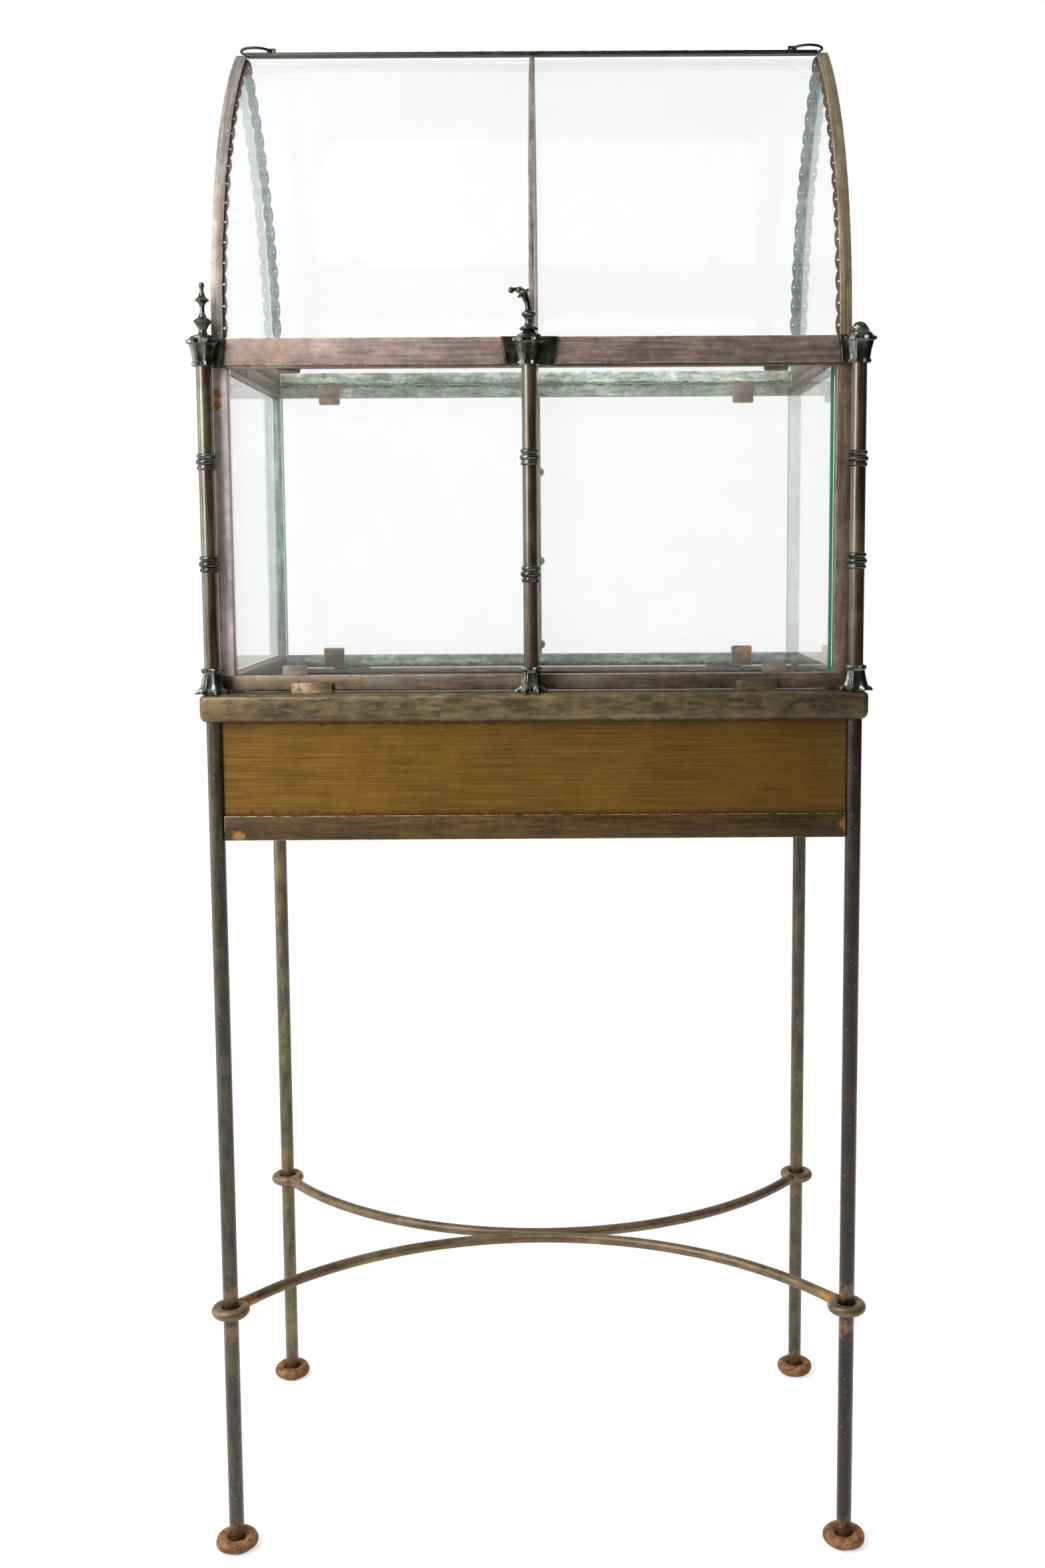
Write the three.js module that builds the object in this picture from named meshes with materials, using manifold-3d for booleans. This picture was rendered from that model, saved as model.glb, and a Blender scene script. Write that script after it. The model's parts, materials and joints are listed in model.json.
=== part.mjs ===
// A glazed plant case with a pointed barrel roof, on a tall stand of round bar and angle iron.
// Lengths are in millimetres. +X is to the right, +Y to the back and +Z up.
// The origin is on the floor, under the middle of the stand.

import * as THREE from "three";
import { mergeVertices } from "three/addons/utils/BufferGeometryUtils.js";
import Module from "manifold-3d";

const wasm = await Module();
wasm.setup();

// Clearances
const fit = 0.3;
const overrun = 4;

// Stand: round bar legs with a ring round each foot and an eye of the stretcher round each shin
const legSpacingX = 573;
const legSpacingY = 320;
const legDiameter = 14;
const standHeight = 808;
const footRingBar = 12.7;
const stretcherBar = 10.6;
const eyeHeight = 233;

// Apron: angle iron top and bottom frames with sheet panels between the legs
const apronHeight = 132;
const topRailHeight = 25.4;
const angleThickness = 3;
const topCornerRadius = 7;
const topEdgeRadius = 2.2;
const legMargin = 1.5;
const bottomRailHeight = 22;
const bottomRailProud = 4;
const panelThickness = 1.5;
const lugWidth = 36.5;
const lugHeight = 9;
const lugThickness = 3;
const lugOffsetX = 200;

// Liner tray, lifted out through the top frame
const trayHeight = 100;
const trayWall = 1.5;
const trayRimWidth = 4;
const trayRimHeight = 3;
const trayClearance = 1;
const trayBearing = 7;

// Glazed case: half inch bars all round, one inch cover rail in front
const caseInsetX = 15.5;
const caseInsetY = 23.5;
const caseBar = 12.7;
const caseLift = 2.5;
const lowerCaseHeight = 298.2;
const flangeMargin = 0.9;
const coverHeight = 23.5;
const coverThickness = 3;
const centreBarWidth = 8;
const glassThickness = 3;
const paneReveal = 1;
const knobDiameter = 9;
const knobReach = 4;
const clipWidth = 22;
const clipHeight = 21;
const clipThickness = 1.5;
const clipOffsetX = 218;
const clipOffsetY = 72;
const endClipHeight = 8;
const bossDiameter = 8;
const bossHole = 3.4;
const bossHeight = 1;

// Colonnettes in front of the case
const shaftDiameter = 12.7;
const colonnetteStandOff = 6.65;
const colonnetteOutset = 5;
const centreColonnetteX = -2.2;
const baseHeight = 23;
const baseDiameter = 33;
const mouldingHeight = 14.4;
const mouldingBulge = 3.4;
const capitalDiameter = 31;
const capitalPlateThickness = 2.4;
const capitalDomeHeight = 4;
const centreWing = 25;
const innerWing = 17.5;
const outerWing = 9;
const finialHeight = 45;
const finialDiameter = 16;
const nutDiameter = 16;
const nutHeight = 6.5;

// Roof: two pointed end arches of flat bar, a ridge, and curved panes under pierced trims
const archRise = 284;
const archWidth = 10.5;
const archThickness = 3;
const trimThickness = 0.8;
const trimWidth = 10.5;
const trimInset = 3.9;
const scallopPitch = 19.5;
const scallopDepth = 2.2;
const glazingBarWidth = 5;
const ridgeWidth = 10;
const ridgeThickness = 3;
const ridgeProud = 1.1;
const crestHeight = 1.2;
const crestThickness = 3;
const ringDiameter = 31;
const ringWire = 2.8;
const ringInset = 4.5;
const knuckleLength = 8;
const knuckleWidth = 4;
const paneSeat = 2;

// Places that follow from the sizes above
const legX = legSpacingX / 2;
const legY = legSpacingY / 2;
const legRadius = legDiameter / 2;
const topHalfX = legX + legRadius + legMargin + angleThickness;
const topHalfY = legY + legRadius + legMargin + angleThickness;
const caseHalfX = topHalfX - caseInsetX;
const caseHalfY = topHalfY - caseInsetY;
const paneDepth = glassThickness + 2 * fit + clipThickness;
const openingHalfX = caseHalfX - caseBar - paneDepth - flangeMargin;
const openingHalfY = caseHalfY - caseBar - paneDepth - flangeMargin;
const apronBottom = standHeight - apronHeight;
const caseBottom = standHeight + caseLift;
const caseTop = caseBottom + lowerCaseHeight;
const wallBottom = caseBottom + caseBar;
const wallTop = caseTop - caseBar;
const roofBottom = caseTop;
const springing = roofBottom + caseBar;
const coverFront = -caseHalfY - coverThickness;
const colonnetteY = coverFront - colonnetteStandOff;
const colonnetteX = caseHalfX + colonnetteOutset;
const roofHalfY = caseHalfY - fit;

// The front half of each arch is an arc round a centre behind the ridge, at the springing height.
const arcCentreY = (archRise * archRise - roofHalfY * roofHalfY) / (2 * roofHalfY);
const arcRadius = roofHalfY + arcCentreY;
const barInner = arcRadius - archThickness;
const trimOuter = barInner - fit;
const trimInner = trimOuter - trimThickness;
const paneOuter = trimInner - fit;
const paneInner = paneOuter - glassThickness;
const gableRadius = paneInner - fit;
const ridgeTop = springing + archRise + ridgeProud;
const ridgeBottom = ridgeTop - ridgeThickness;

// Finishes, one material for each kind of metal and glass
const paint = (color, roughness, metalness, extra = {}) =>
  new THREE.MeshStandardMaterial({ color, roughness, metalness, ...extra });
const finishes = {
  leg: paint(0x3f3b31, 0.55, 0.8),
  rust: paint(0x7a4f35, 0.85, 0.3),
  stretcher: paint(0x66533d, 0.6, 0.7),
  topRail: paint(0x5f5646, 0.5, 0.8),
  panel: paint(0x70501e, 0.45, 0.7),
  lowerRail: paint(0x4a3d2d, 0.5, 0.8),
  zinc: paint(0x8b8d8a, 0.55, 0.9),
  caseBar: paint(0x5d5148, 0.55, 0.8),
  cover: paint(0x6f5850, 0.45, 0.8),
  shaft: paint(0x5b4638, 0.35, 0.9),
  casting: paint(0x2c2b27, 0.35, 0.8),
  arch: paint(0x75675a, 0.55, 0.8),
  ridge: paint(0x2f2c26, 0.5, 0.8),
  glass: paint(0xcfe6dc, 0.05, 0, { transparent: true, opacity: 0.3 }),
};

const wardianCase = new THREE.Group();

// Adds a named mesh to the case.
function add(name, geometry, material) {
  const mesh = new THREE.Mesh(geometry, material);
  mesh.name = name;
  wardianCase.add(mesh);
  return mesh;
}

// A closed geometry as a solid that can be cut and joined.
function solidOf(geometry) {
  const bare = geometry.index ? geometry.toNonIndexed() : geometry.clone();
  bare.deleteAttribute("normal");
  bare.deleteAttribute("uv");
  const merged = mergeVertices(bare, 1e-4);
  return new wasm.Manifold(new wasm.Mesh({
    numProp: 3,
    vertProperties: new Float32Array(merged.attributes.position.array),
    triVerts: new Uint32Array(merged.index.array),
  }));
}

// A cut or joined solid as a geometry.
function geometryOf(solid) {
  const mesh = solid.getMesh();
  const geometry = new THREE.BufferGeometry();
  geometry.setAttribute("position", new THREE.BufferAttribute(mesh.vertProperties, 3));
  geometry.setIndex(new THREE.BufferAttribute(mesh.triVerts, 1));
  geometry.computeVertexNormals();
  return geometry;
}

// Several closed geometries joined into one.
function join(geometries) {
  return geometryOf(geometries.map(solidOf).reduce((sum, next) => sum.add(next)));
}

// A box between two opposite corners.
function boxBetween([x0, y0, z0], [x1, y1, z1]) {
  const box = new THREE.BoxGeometry(Math.abs(x1 - x0), Math.abs(y1 - y0), Math.abs(z1 - z0));
  return box.translate((x0 + x1) / 2, (y0 + y1) / 2, (z0 + z1) / 2);
}

// An upright turned piece from a list of [radius, height] points, from the bottom to the top.
function turned(points, sides) {
  const profile = points.map(([radius, height]) => new THREE.Vector2(radius, height));
  return new THREE.LatheGeometry(profile, sides).rotateX(Math.PI / 2);
}

// An eight sided casting with one flat to the front.
function octagonal(points) {
  return turned(points, 8).rotateZ(Math.PI / 8);
}

// A rectangular ring of bar between an outer and an inner half size.
function ringOfBar(outerX, outerY, innerX, innerY, bottom, top) {
  const outer = boxBetween([-outerX, -outerY, bottom], [outerX, outerY, top]);
  const inner = boxBetween(
    [-innerX, -innerY, bottom - overrun],
    [innerX, innerY, top + overrun],
  );
  return solidOf(outer).subtract(solidOf(inner));
}

const sides = [["left", -1], ["right", 1]];
const ends = [["front", -1], ["rear", 1]];

// Legs: plain round bar from the floor up to the underside of the top frame.
function makeLegs() {
  const length = standHeight - angleThickness;
  for (const [endName, endSign] of ends) {
    for (const [sideName, sideSign] of sides) {
      const leg = new THREE.CylinderGeometry(legRadius, legRadius, length, 24);
      leg.rotateX(Math.PI / 2).translate(sideSign * legX, endSign * legY, length / 2);
      add(`leg_${endName}_${sideName}`, leg, finishes.leg);
      const bar = footRingBar / 2;
      const ring = new THREE.TorusGeometry(legRadius + fit + bar, bar, 12, 16);
      ring.translate(sideSign * legX, endSign * legY, bar);
      add(`foot_ring_${endName}_${sideName}`, ring, finishes.rust);
    }
  }
}

// Stretchers: each rod runs from leg to leg, bowed so that the two touch in the middle.
function makeStretchers() {
  const bar = stretcherBar / 2;
  const eyeRadius = legRadius + fit + bar;
  const sag = legY - bar - fit / 2;
  const bowRadius = (legX * legX + sag * sag) / (2 * sag);
  const halfAngle = Math.asin(legX / bowRadius);
  const trim = eyeRadius / bowRadius;
  for (const [endName, endSign] of ends) {
    const bow = new THREE.Curve();
    bow.getPoint = (share, target = new THREE.Vector3()) => {
      const angle = (halfAngle - trim) * (2 * share - 1);
      const y = bar + fit / 2 + bowRadius * (1 - Math.cos(angle));
      return target.set(bowRadius * Math.sin(angle), endSign * y, eyeHeight);
    };
    const section = new THREE.Shape().absarc(0, 0, bar, 0, 2 * Math.PI);
    const rod = new THREE.ExtrudeGeometry(section, {
      steps: 28,
      curveSegments: 5,
      extrudePath: bow,
    });
    const eyes = sides.map(([, sideSign]) =>
      new THREE.TorusGeometry(eyeRadius, bar, 8, 16)
        .translate(sideSign * legX, endSign * legY, eyeHeight));
    add(`stretcher_${endName}`, join([rod, ...eyes]), finishes.stretcher);
  }
}

// Top frame: angle iron with its wide leg flat on top, and lugs that stop the case sliding.
function makeTopFrame() {
  const inset = topEdgeRadius;
  const halfX = topHalfX - inset;
  const halfY = topHalfY - inset;
  const corner = topCornerRadius - inset;
  const outline = new THREE.Shape();
  outline.absarc(halfX - corner, halfY - corner, corner, 0, Math.PI / 2);
  outline.absarc(corner - halfX, halfY - corner, corner, Math.PI / 2, Math.PI);
  outline.absarc(corner - halfX, corner - halfY, corner, Math.PI, 1.5 * Math.PI);
  outline.absarc(halfX - corner, corner - halfY, corner, 1.5 * Math.PI, 2 * Math.PI);
  const block = new THREE.ExtrudeGeometry(outline, {
    depth: topRailHeight - 2 * inset,
    curveSegments: 4,
    bevelThickness: inset,
    bevelSize: inset,
    bevelSegments: 3,
  }).translate(0, 0, standHeight - topRailHeight + inset);
  const insideX = topHalfX - angleThickness;
  const insideY = topHalfY - angleThickness;
  const under = boxBetween(
    [-insideX, -insideY, standHeight - topRailHeight - overrun],
    [insideX, insideY, standHeight - angleThickness],
  );
  const opening = boxBetween(
    [-openingHalfX, -openingHalfY, standHeight - topRailHeight - overrun],
    [openingHalfX, openingHalfY, standHeight + overrun],
  );
  let frame = solidOf(block).subtract(solidOf(under)).subtract(solidOf(opening));
  for (const [, endSign] of ends) {
    for (const [, sideSign] of sides) {
      const x = sideSign * lugOffsetX;
      const face = endSign * (caseHalfY + fit);
      const foot = boxBetween(
        [x - lugWidth / 2, face + endSign * lugThickness, standHeight - angleThickness / 2],
        [x + lugWidth / 2, endSign * (caseHalfY - caseBar), caseBottom],
      );
      const stop = boxBetween(
        [x - lugWidth / 2, face, standHeight - angleThickness / 2],
        [x + lugWidth / 2, face + endSign * lugThickness, standHeight + lugHeight],
      );
      frame = frame.add(solidOf(foot)).add(solidOf(stop));
    }
  }
  add("stand_top_frame", geometryOf(frame), finishes.topRail);
}

// Bottom frame: angle iron butted between the legs, its flanges joined inside the corners.
function makeBottomFrame() {
  const faceX = legX + bottomRailProud;
  const faceY = legY + bottomRailProud;
  const endX = legX - legRadius - fit;
  const endY = legY - legRadius - fit;
  const innerX = openingHalfX - trayClearance - trayBearing;
  const innerY = openingHalfY - trayClearance - trayBearing;
  const webTop = apronBottom + bottomRailHeight;
  const ledge = apronBottom + angleThickness;
  const pieces = [];
  for (const sign of [-1, 1]) {
    pieces.push(boxBetween(
      [-endX, sign * faceY, apronBottom],
      [endX, sign * (faceY - angleThickness), webTop],
    ));
    pieces.push(boxBetween([-endX, sign * faceY, apronBottom], [endX, sign * innerY, ledge]));
    pieces.push(boxBetween(
      [sign * faceX, -endY, apronBottom],
      [sign * (faceX - angleThickness), endY, webTop],
    ));
    pieces.push(boxBetween([sign * faceX, -endY, apronBottom], [sign * innerX, endY, ledge]));
  }
  add("apron_bottom_frame", join(pieces), finishes.lowerRail);

  const panelTop = standHeight - angleThickness;
  for (const [name, sign] of ends) {
    const outer = faceY - angleThickness;
    add(`apron_panel_${name}`, boxBetween(
      [-endX, sign * outer, ledge],
      [endX, sign * (outer - panelThickness), panelTop],
    ), finishes.panel);
  }
  for (const [name, sign] of sides) {
    const outer = faceX - angleThickness;
    add(`apron_panel_${name}`, boxBetween(
      [sign * outer, -endY, ledge],
      [sign * (outer - panelThickness), endY, panelTop],
    ), finishes.panel);
  }
}

// Liner tray: folded sheet with a thicker turned-in rim.
function makeTray() {
  const halfX = openingHalfX - trayClearance;
  const halfY = openingHalfY - trayClearance;
  const bottom = apronBottom + angleThickness;
  const top = bottom + trayHeight;
  const insideX = halfX - trayWall;
  const insideY = halfY - trayWall;
  const rimX = halfX - trayRimWidth;
  const rimY = halfY - trayRimWidth;
  const shell = solidOf(boxBetween([-halfX, -halfY, bottom], [halfX, halfY, top]));
  const well = solidOf(boxBetween(
    [-insideX, -insideY, bottom + trayWall],
    [insideX, insideY, top - trayRimHeight],
  ));
  const mouth = solidOf(boxBetween(
    [-rimX, -rimY, bottom + trayWall],
    [rimX, rimY, top + overrun],
  ));
  add("liner_tray", geometryOf(shell.subtract(well).subtract(mouth)), finishes.zinc);
}

// Sheet clips along the front and rear of one frame of the case: a strip past the edge of the
// pane and a tab inside it.
function clips(edge, direction) {
  const pieces = [];
  const far = edge + direction * clipHeight;
  const strip = edge + direction * clipThickness;
  for (const sx of [-1, 1]) {
    for (const sy of [-1, 1]) {
      const x = sx * clipOffsetX;
      const y = sy * (caseHalfY - caseBar);
      pieces.push(boxBetween(
        [x - clipWidth / 2, y + sy * caseBar / 2, edge],
        [x + clipWidth / 2, y - sy * paneDepth, strip],
      ));
      pieces.push(boxBetween(
        [x - clipWidth / 2, y - sy * (paneDepth - clipThickness), edge],
        [x + clipWidth / 2, y - sy * paneDepth, far],
      ));
    }
  }
  return pieces;
}

// Low clips on the base frame that carry the right end pane.
function endClips() {
  const x = caseHalfX - caseBar;
  return [-1, 1].flatMap((side) => {
    const low = side * clipOffsetY - clipWidth / 2;
    const high = side * clipOffsetY + clipWidth / 2;
    return [
      boxBetween(
        [x + caseBar / 2, low, caseBottom],
        [x - paneDepth, high, caseBottom + clipThickness],
      ),
      boxBetween(
        [x - paneDepth + clipThickness, low, caseBottom],
        [x - paneDepth, high, caseBottom + endClipHeight],
      ),
    ];
  });
}

// A small ring riveted to the inner face of an end rail.
function boss(sign, y, z) {
  const depth = caseBar / 4;
  const face = sign * (caseHalfX - caseBar);
  const disc = new THREE.CylinderGeometry(
    bossDiameter / 2, bossDiameter / 2, bossHeight + depth, 20,
  ).rotateZ(Math.PI / 2).translate(face + sign * (depth - bossHeight) / 2, y, z);
  const hole = new THREE.CylinderGeometry(
    bossHole / 2, bossHole / 2, 2 * (bossHeight + depth), 12,
  ).rotateZ(Math.PI / 2).translate(face + sign * (depth - bossHeight) / 2, y, z);
  return solidOf(disc).subtract(solidOf(hole));
}

// The rings on both frames, at shares of the half depth and of the rail's height.
function bossesOf(bottom, places) {
  return places.map(([sign, yShare, zShare]) => boss(
    sign, yShare * caseHalfY, bottom + zShare * caseBar,
  ));
}

// Frames and uprights of the lower case.
function makeCaseFrame() {
  const innerX = caseHalfX - caseBar;
  const innerY = caseHalfY - caseBar;
  const ring = (bottom, top) => ringOfBar(caseHalfX, caseHalfY, innerX, innerY, bottom, top);
  const base = ring(caseBottom, wallBottom);
  const lowBosses = bossesOf(caseBottom, [[-1, -0.51, 0.6]]);
  const lower = [...clips(caseBottom, 1), ...endClips()].map(solidOf).concat(lowBosses)
    .reduce((sum, next) => sum.add(next), base);
  add("case_base_frame", geometryOf(lower), finishes.caseBar);
  const top = ring(wallTop, caseTop);
  const highBosses = bossesOf(wallTop, [
    [-1, 0.55, 0.4], [-1, -0.36, 0.4], [1, -0.5, 0.55], [1, 0.82, 0.6],
  ]);
  const upper = clips(caseTop, -1).map(solidOf).concat(highBosses)
    .reduce((sum, next) => sum.add(next), top);
  add("case_top_frame", geometryOf(upper), finishes.caseBar);

  for (const [endName, endSign] of ends) {
    for (const [sideName, sideSign] of sides) {
      add(`corner_upright_${endName}_${sideName}`, boxBetween(
        [sideSign * caseHalfX, endSign * caseHalfY, wallBottom],
        [sideSign * innerX, endSign * innerY, wallTop],
      ), finishes.caseBar);
    }
  }

  const centre = (sign) => boxBetween(
    [-centreBarWidth / 2, sign * caseHalfY, wallBottom],
    [centreBarWidth / 2, sign * innerY, wallTop],
  );
  add("centre_upright_front", centre(-1), finishes.caseBar);
  const knobShares = [0.021, 0.349, 0.694];
  const knobs = knobShares.map((share) => {
    const knob = new THREE.CylinderGeometry(knobDiameter / 2, knobDiameter / 2, caseBar, 12);
    const z = wallBottom + share * (wallTop - wallBottom) + knobDiameter / 2;
    const x = centreBarWidth / 2 + knobReach - knobDiameter / 2;
    return knob.translate(x, caseHalfY - caseBar / 2, z);
  });
  add("centre_upright_rear", join([centre(1), ...knobs]), finishes.caseBar);

  add("front_cover_rail", boxBetween(
    [-caseHalfX, -caseHalfY, springing - coverHeight],
    [caseHalfX, coverFront, springing],
  ), finishes.cover);
}

// Flat panes of the lower case, standing inside the bars on the clips. The left end pane is let
// in between the bars, near their outer face; the right one stands inside them.
function makeCasePanes() {
  const outerX = caseHalfX - caseBar - fit;
  const outerY = caseHalfY - caseBar - fit;
  const bottom = caseBottom + clipThickness + fit;
  const top = caseTop - clipThickness - fit;
  const flush = caseHalfX - paneReveal;
  add("pane_end_left", boxBetween(
    [-flush, -outerY, wallBottom + fit],
    [-flush + glassThickness, outerY, wallTop - fit],
  ), finishes.glass);
  const endInner = outerX - glassThickness;
  add("pane_end_right", boxBetween(
    [outerX, -outerY, bottom],
    [endInner, outerY, wallTop - fit],
  ), finishes.glass);
  const reaches = { left: outerX, right: endInner - fit };
  for (const [sideName, sign] of sides) {
    for (const [endName, endSign] of ends) {
      add(`pane_${endName}_${sideName}`, boxBetween(
        [sign * reaches[sideName], endSign * outerY, bottom],
        [sign * fit / 2, endSign * (outerY - glassThickness), top],
      ), finishes.glass);
    }
  }
}

// Outline of a three bead ring moulding, centred on a height.
function mouldingOutline(radius, centreZ) {
  const beadShares = [0.28, 0.44, 0.28];
  const bulgeShares = [0.55, 1, 0.55];
  const lowShare = 0.2;
  const steps = 3;
  const points = [];
  let z = centreZ - mouldingHeight / 2;
  beadShares.forEach((share, bead) => {
    for (let step = 0; step < steps; step += 1) {
      const turn = Math.sin(Math.PI * step / steps);
      points.push([radius + mouldingBulge * bulgeShares[bead] * Math.max(turn, lowShare), z]);
      z += share * mouldingHeight / steps;
    }
  });
  points.push([radius, z]);
  return points;
}

// Colonnettes: cast base, turned shaft, cast capital and finial.
function makeColonnette(name, x, wings, mouldingShares) {
  const radius = shaftDiameter / 2;
  const place = (geometry) => geometry.translate(x, colonnetteY, 0);
  const baseBottom = standHeight + fit;
  const shaftBottom = standHeight + baseHeight;
  const capitalBottom = wallTop;
  const capitalTop = springing + fit;
  const mouldingAt = (share) => wallBottom + share * (wallTop - wallBottom);

  const baseRadiusShares = [[0, 0], [1, 0], [1, 0.12], [0.78, 0.2], [0.66, 0.5], [0.55, 0.8],
    [0.66, 0.86], [0.66, 1], [0, 1]];
  const height = shaftBottom - baseBottom;
  const base = place(octagonal(baseRadiusShares.map(([r, h]) =>
    [r * baseDiameter / 2, baseBottom + h * height])));
  const behindBase = boxBetween(
    [x - baseDiameter, -caseHalfY - fit, baseBottom - overrun],
    [x + baseDiameter, -caseHalfY + baseDiameter, shaftBottom + overrun],
  );
  add(`colonnette_base_${name}`,
    geometryOf(solidOf(base).subtract(solidOf(behindBase))), finishes.casting);

  const outline = [
    [0, shaftBottom],
    [radius, shaftBottom],
    ...mouldingShares.flatMap((share) => mouldingOutline(radius, mouldingAt(share))),
    [radius, capitalBottom],
    [0, capitalBottom],
  ];
  add(`colonnette_shaft_${name}`, place(turned(outline, 16)), finishes.shaft);

  const capitalShares = [[0, 0], [0.64, 0], [0.68, 0.05], [0.64, 0.1], [0.6, 0.13], [0.72, 0.5],
    [0.86, 0.84], [1, 0.88], [1, 0.97], [0.94, 1], [0, 1]];
  const capitalHeight = capitalTop - capitalBottom;
  const cup = place(octagonal(capitalShares.map(([r, h]) =>
    [r * capitalDiameter / 2, capitalBottom + h * capitalHeight])));
  const domeShares = [[0, 0], [0.8, 0], [0.74, 0.45], [0.6, 0.8], [0.52, 1], [0, 1]];
  const dome = place(turned(domeShares.map(([r, h]) =>
    [r * capitalDiameter / 2, capitalTop - fit + h * (capitalDomeHeight + fit)]), 16));
  const plateBack = coverFront - fit;
  const taperShare = 0.84;
  const wingOutline = new THREE.Shape([
    new THREE.Vector2(x - wings[0], springing),
    new THREE.Vector2(x - taperShare * wings[0], capitalBottom),
    new THREE.Vector2(x + taperShare * wings[1], capitalBottom),
    new THREE.Vector2(x + wings[1], springing),
  ]);
  const plate = new THREE.ExtrudeGeometry(wingOutline, {
    depth: capitalPlateThickness,
    bevelEnabled: false,
  }).rotateX(Math.PI / 2).translate(0, plateBack, 0);
  const behind = boxBetween(
    [x - 2 * capitalDiameter, plateBack, capitalBottom - overrun],
    [x + 2 * capitalDiameter, plateBack + capitalDiameter, capitalTop + 2 * capitalDomeHeight],
  );
  const body = solidOf(cup).add(solidOf(dome)).subtract(solidOf(behind));
  const capital = body.add(solidOf(plate));
  add(`capital_${name}`, geometryOf(capital), finishes.casting);
  return capitalTop + capitalDomeHeight;
}

// Finials: the left one whole, the middle one bent over, the right one lost but for its nut.
function makeFinials(seat) {
  const half = finialDiameter / 2;
  const wholeShares = [[0, 0], [1.04, 0], [0.64, 0.04], [0.42, 0.11], [0.6, 0.17], [0.93, 0.2],
    [0.93, 0.23], [0.68, 0.27], [0.3, 0.37], [0.24, 0.5], [0.42, 0.6], [0.68, 0.64], [0.68, 0.67],
    [0.5, 0.71], [0.22, 0.79], [0.14, 0.86], [0.26, 0.92], [0.22, 0.97], [0, 1]];
  const whole = turned(wholeShares.map(([r, h]) => [r * half, seat + h * finialHeight]), 12);
  add("finial_left", whole.translate(-colonnetteX, colonnetteY, 0), finishes.casting);

  const stemShares = [[0, 0], [0.9, 0], [1.04, 0.05], [1.04, 0.09], [0.62, 0.15], [0.43, 0.25],
    [0.6, 0.34], [0.8, 0.37], [0.8, 0.41], [0.5, 0.46], [0.34, 0.56], [0, 0.56]];
  const stem = turned(stemShares.map(([r, h]) => [r * half, seat + h * finialHeight]), 12);
  const bendShares = [[0, 0.48], [-0.04, 0.6], [-0.1, 0.77], [-0.22, 0.87], [-0.345, 0.84]];
  const bendPoints = bendShares.map(([dx, h]) =>
    new THREE.Vector3(dx * finialHeight, 0, seat + h * finialHeight));
  const neckShare = 0.27;
  const section = new THREE.Shape().absarc(0, 0, neckShare * half, 0, 2 * Math.PI);
  const neck = new THREE.ExtrudeGeometry(section, {
    steps: 8,
    curveSegments: 4,
    extrudePath: new THREE.CatmullRomCurve3(bendPoints),
  });
  const discShare = 0.58;
  const discThicknessShare = 0.3;
  const disc = turned([[0, -discThicknessShare * half], [discShare * half, 0],
    [0, discThicknessShare * half]], 12);
  disc.rotateY(-Math.PI / 5);
  disc.translate(bendPoints[2].x, 0, bendPoints[2].z);
  const ballShare = 0.34;
  const ball = new THREE.SphereGeometry(ballShare * half, 8, 6);
  ball.translate(bendPoints[4].x, 0, bendPoints[4].z);
  const bent = join([stem, neck, disc, ball]);
  add("finial_centre", bent.translate(centreColonnetteX, colonnetteY, 0), finishes.casting);

  const nutShares = [[0, 0], [1, 0], [1, 0.28], [0.85, 0.32], [0.75, 0.62], [0.45, 0.9], [0, 1]];
  const nut = turned(nutShares.map(([r, h]) => [r * nutDiameter / 2, seat + h * nutHeight]), 12);
  add("finial_nut_right", nut.translate(colonnetteX, colonnetteY, 0), finishes.casting);
}

// The angle up the arc where a circle of this radius comes within a gap of the ridge plane.
function arcEnd(radius, gap) {
  return Math.acos((arcCentreY + gap) / radius);
}

// A bent strip whose cross section runs between two radii and two places in X.
// It climbs the front arc; a whole strip goes on over the ridge and down the back.
function bentStrip(outer, inner, gap, steps, edges, whole, endSign = -1) {
  const points = [];
  const section = (share, sign) => {
    const [x0, x1] = edges(share);
    const corners = [[outer, x0], [outer, x1], [inner, x1], [inner, x0]];
    for (const [radius, x] of corners) {
      const angle = share * arcEnd(radius, gap);
      const y = radius * Math.cos(angle) - arcCentreY;
      points.push(x, sign * Math.max(y, gap), springing + radius * Math.sin(angle));
    }
  };
  for (let step = 0; step <= steps; step += 1) {
    section(step / steps, endSign);
  }
  if (whole) {
    for (let step = steps - 1; step >= 0; step -= 1) {
      section(step / steps, -endSign);
    }
  }
  const count = points.length / 12;
  const faces = [];
  for (let i = 0; i < count - 1; i += 1) {
    for (let k = 0; k < 4; k += 1) {
      const a = 4 * i + k;
      const b = 4 * i + (k + 1) % 4;
      faces.push(a, b, b + 4, a, b + 4, a + 4);
    }
  }
  const last = 4 * (count - 1);
  faces.push(0, 2, 1, 0, 3, 2, last, last + 1, last + 2, last, last + 2, last + 3);
  const geometry = new THREE.BufferGeometry();
  geometry.setAttribute("position", new THREE.Float32BufferAttribute(points, 3));
  geometry.setIndex(faces);
  if (signedVolume(geometry) < 0) {
    geometry.setIndex(faces.reverse());
  }
  geometry.computeVertexNormals();
  return geometry;
}

// Six times the volume inside a closed geometry, negative when its faces point inwards.
function signedVolume(geometry) {
  const a = new THREE.Vector3();
  const b = new THREE.Vector3();
  const c = new THREE.Vector3();
  const place = geometry.attributes.position;
  const index = geometry.index.array;
  let sum = 0;
  for (let i = 0; i < index.length; i += 3) {
    a.fromBufferAttribute(place, index[i]);
    b.fromBufferAttribute(place, index[i + 1]);
    c.fromBufferAttribute(place, index[i + 2]);
    sum += a.dot(b.cross(c));
  }
  return sum;
}

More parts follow.
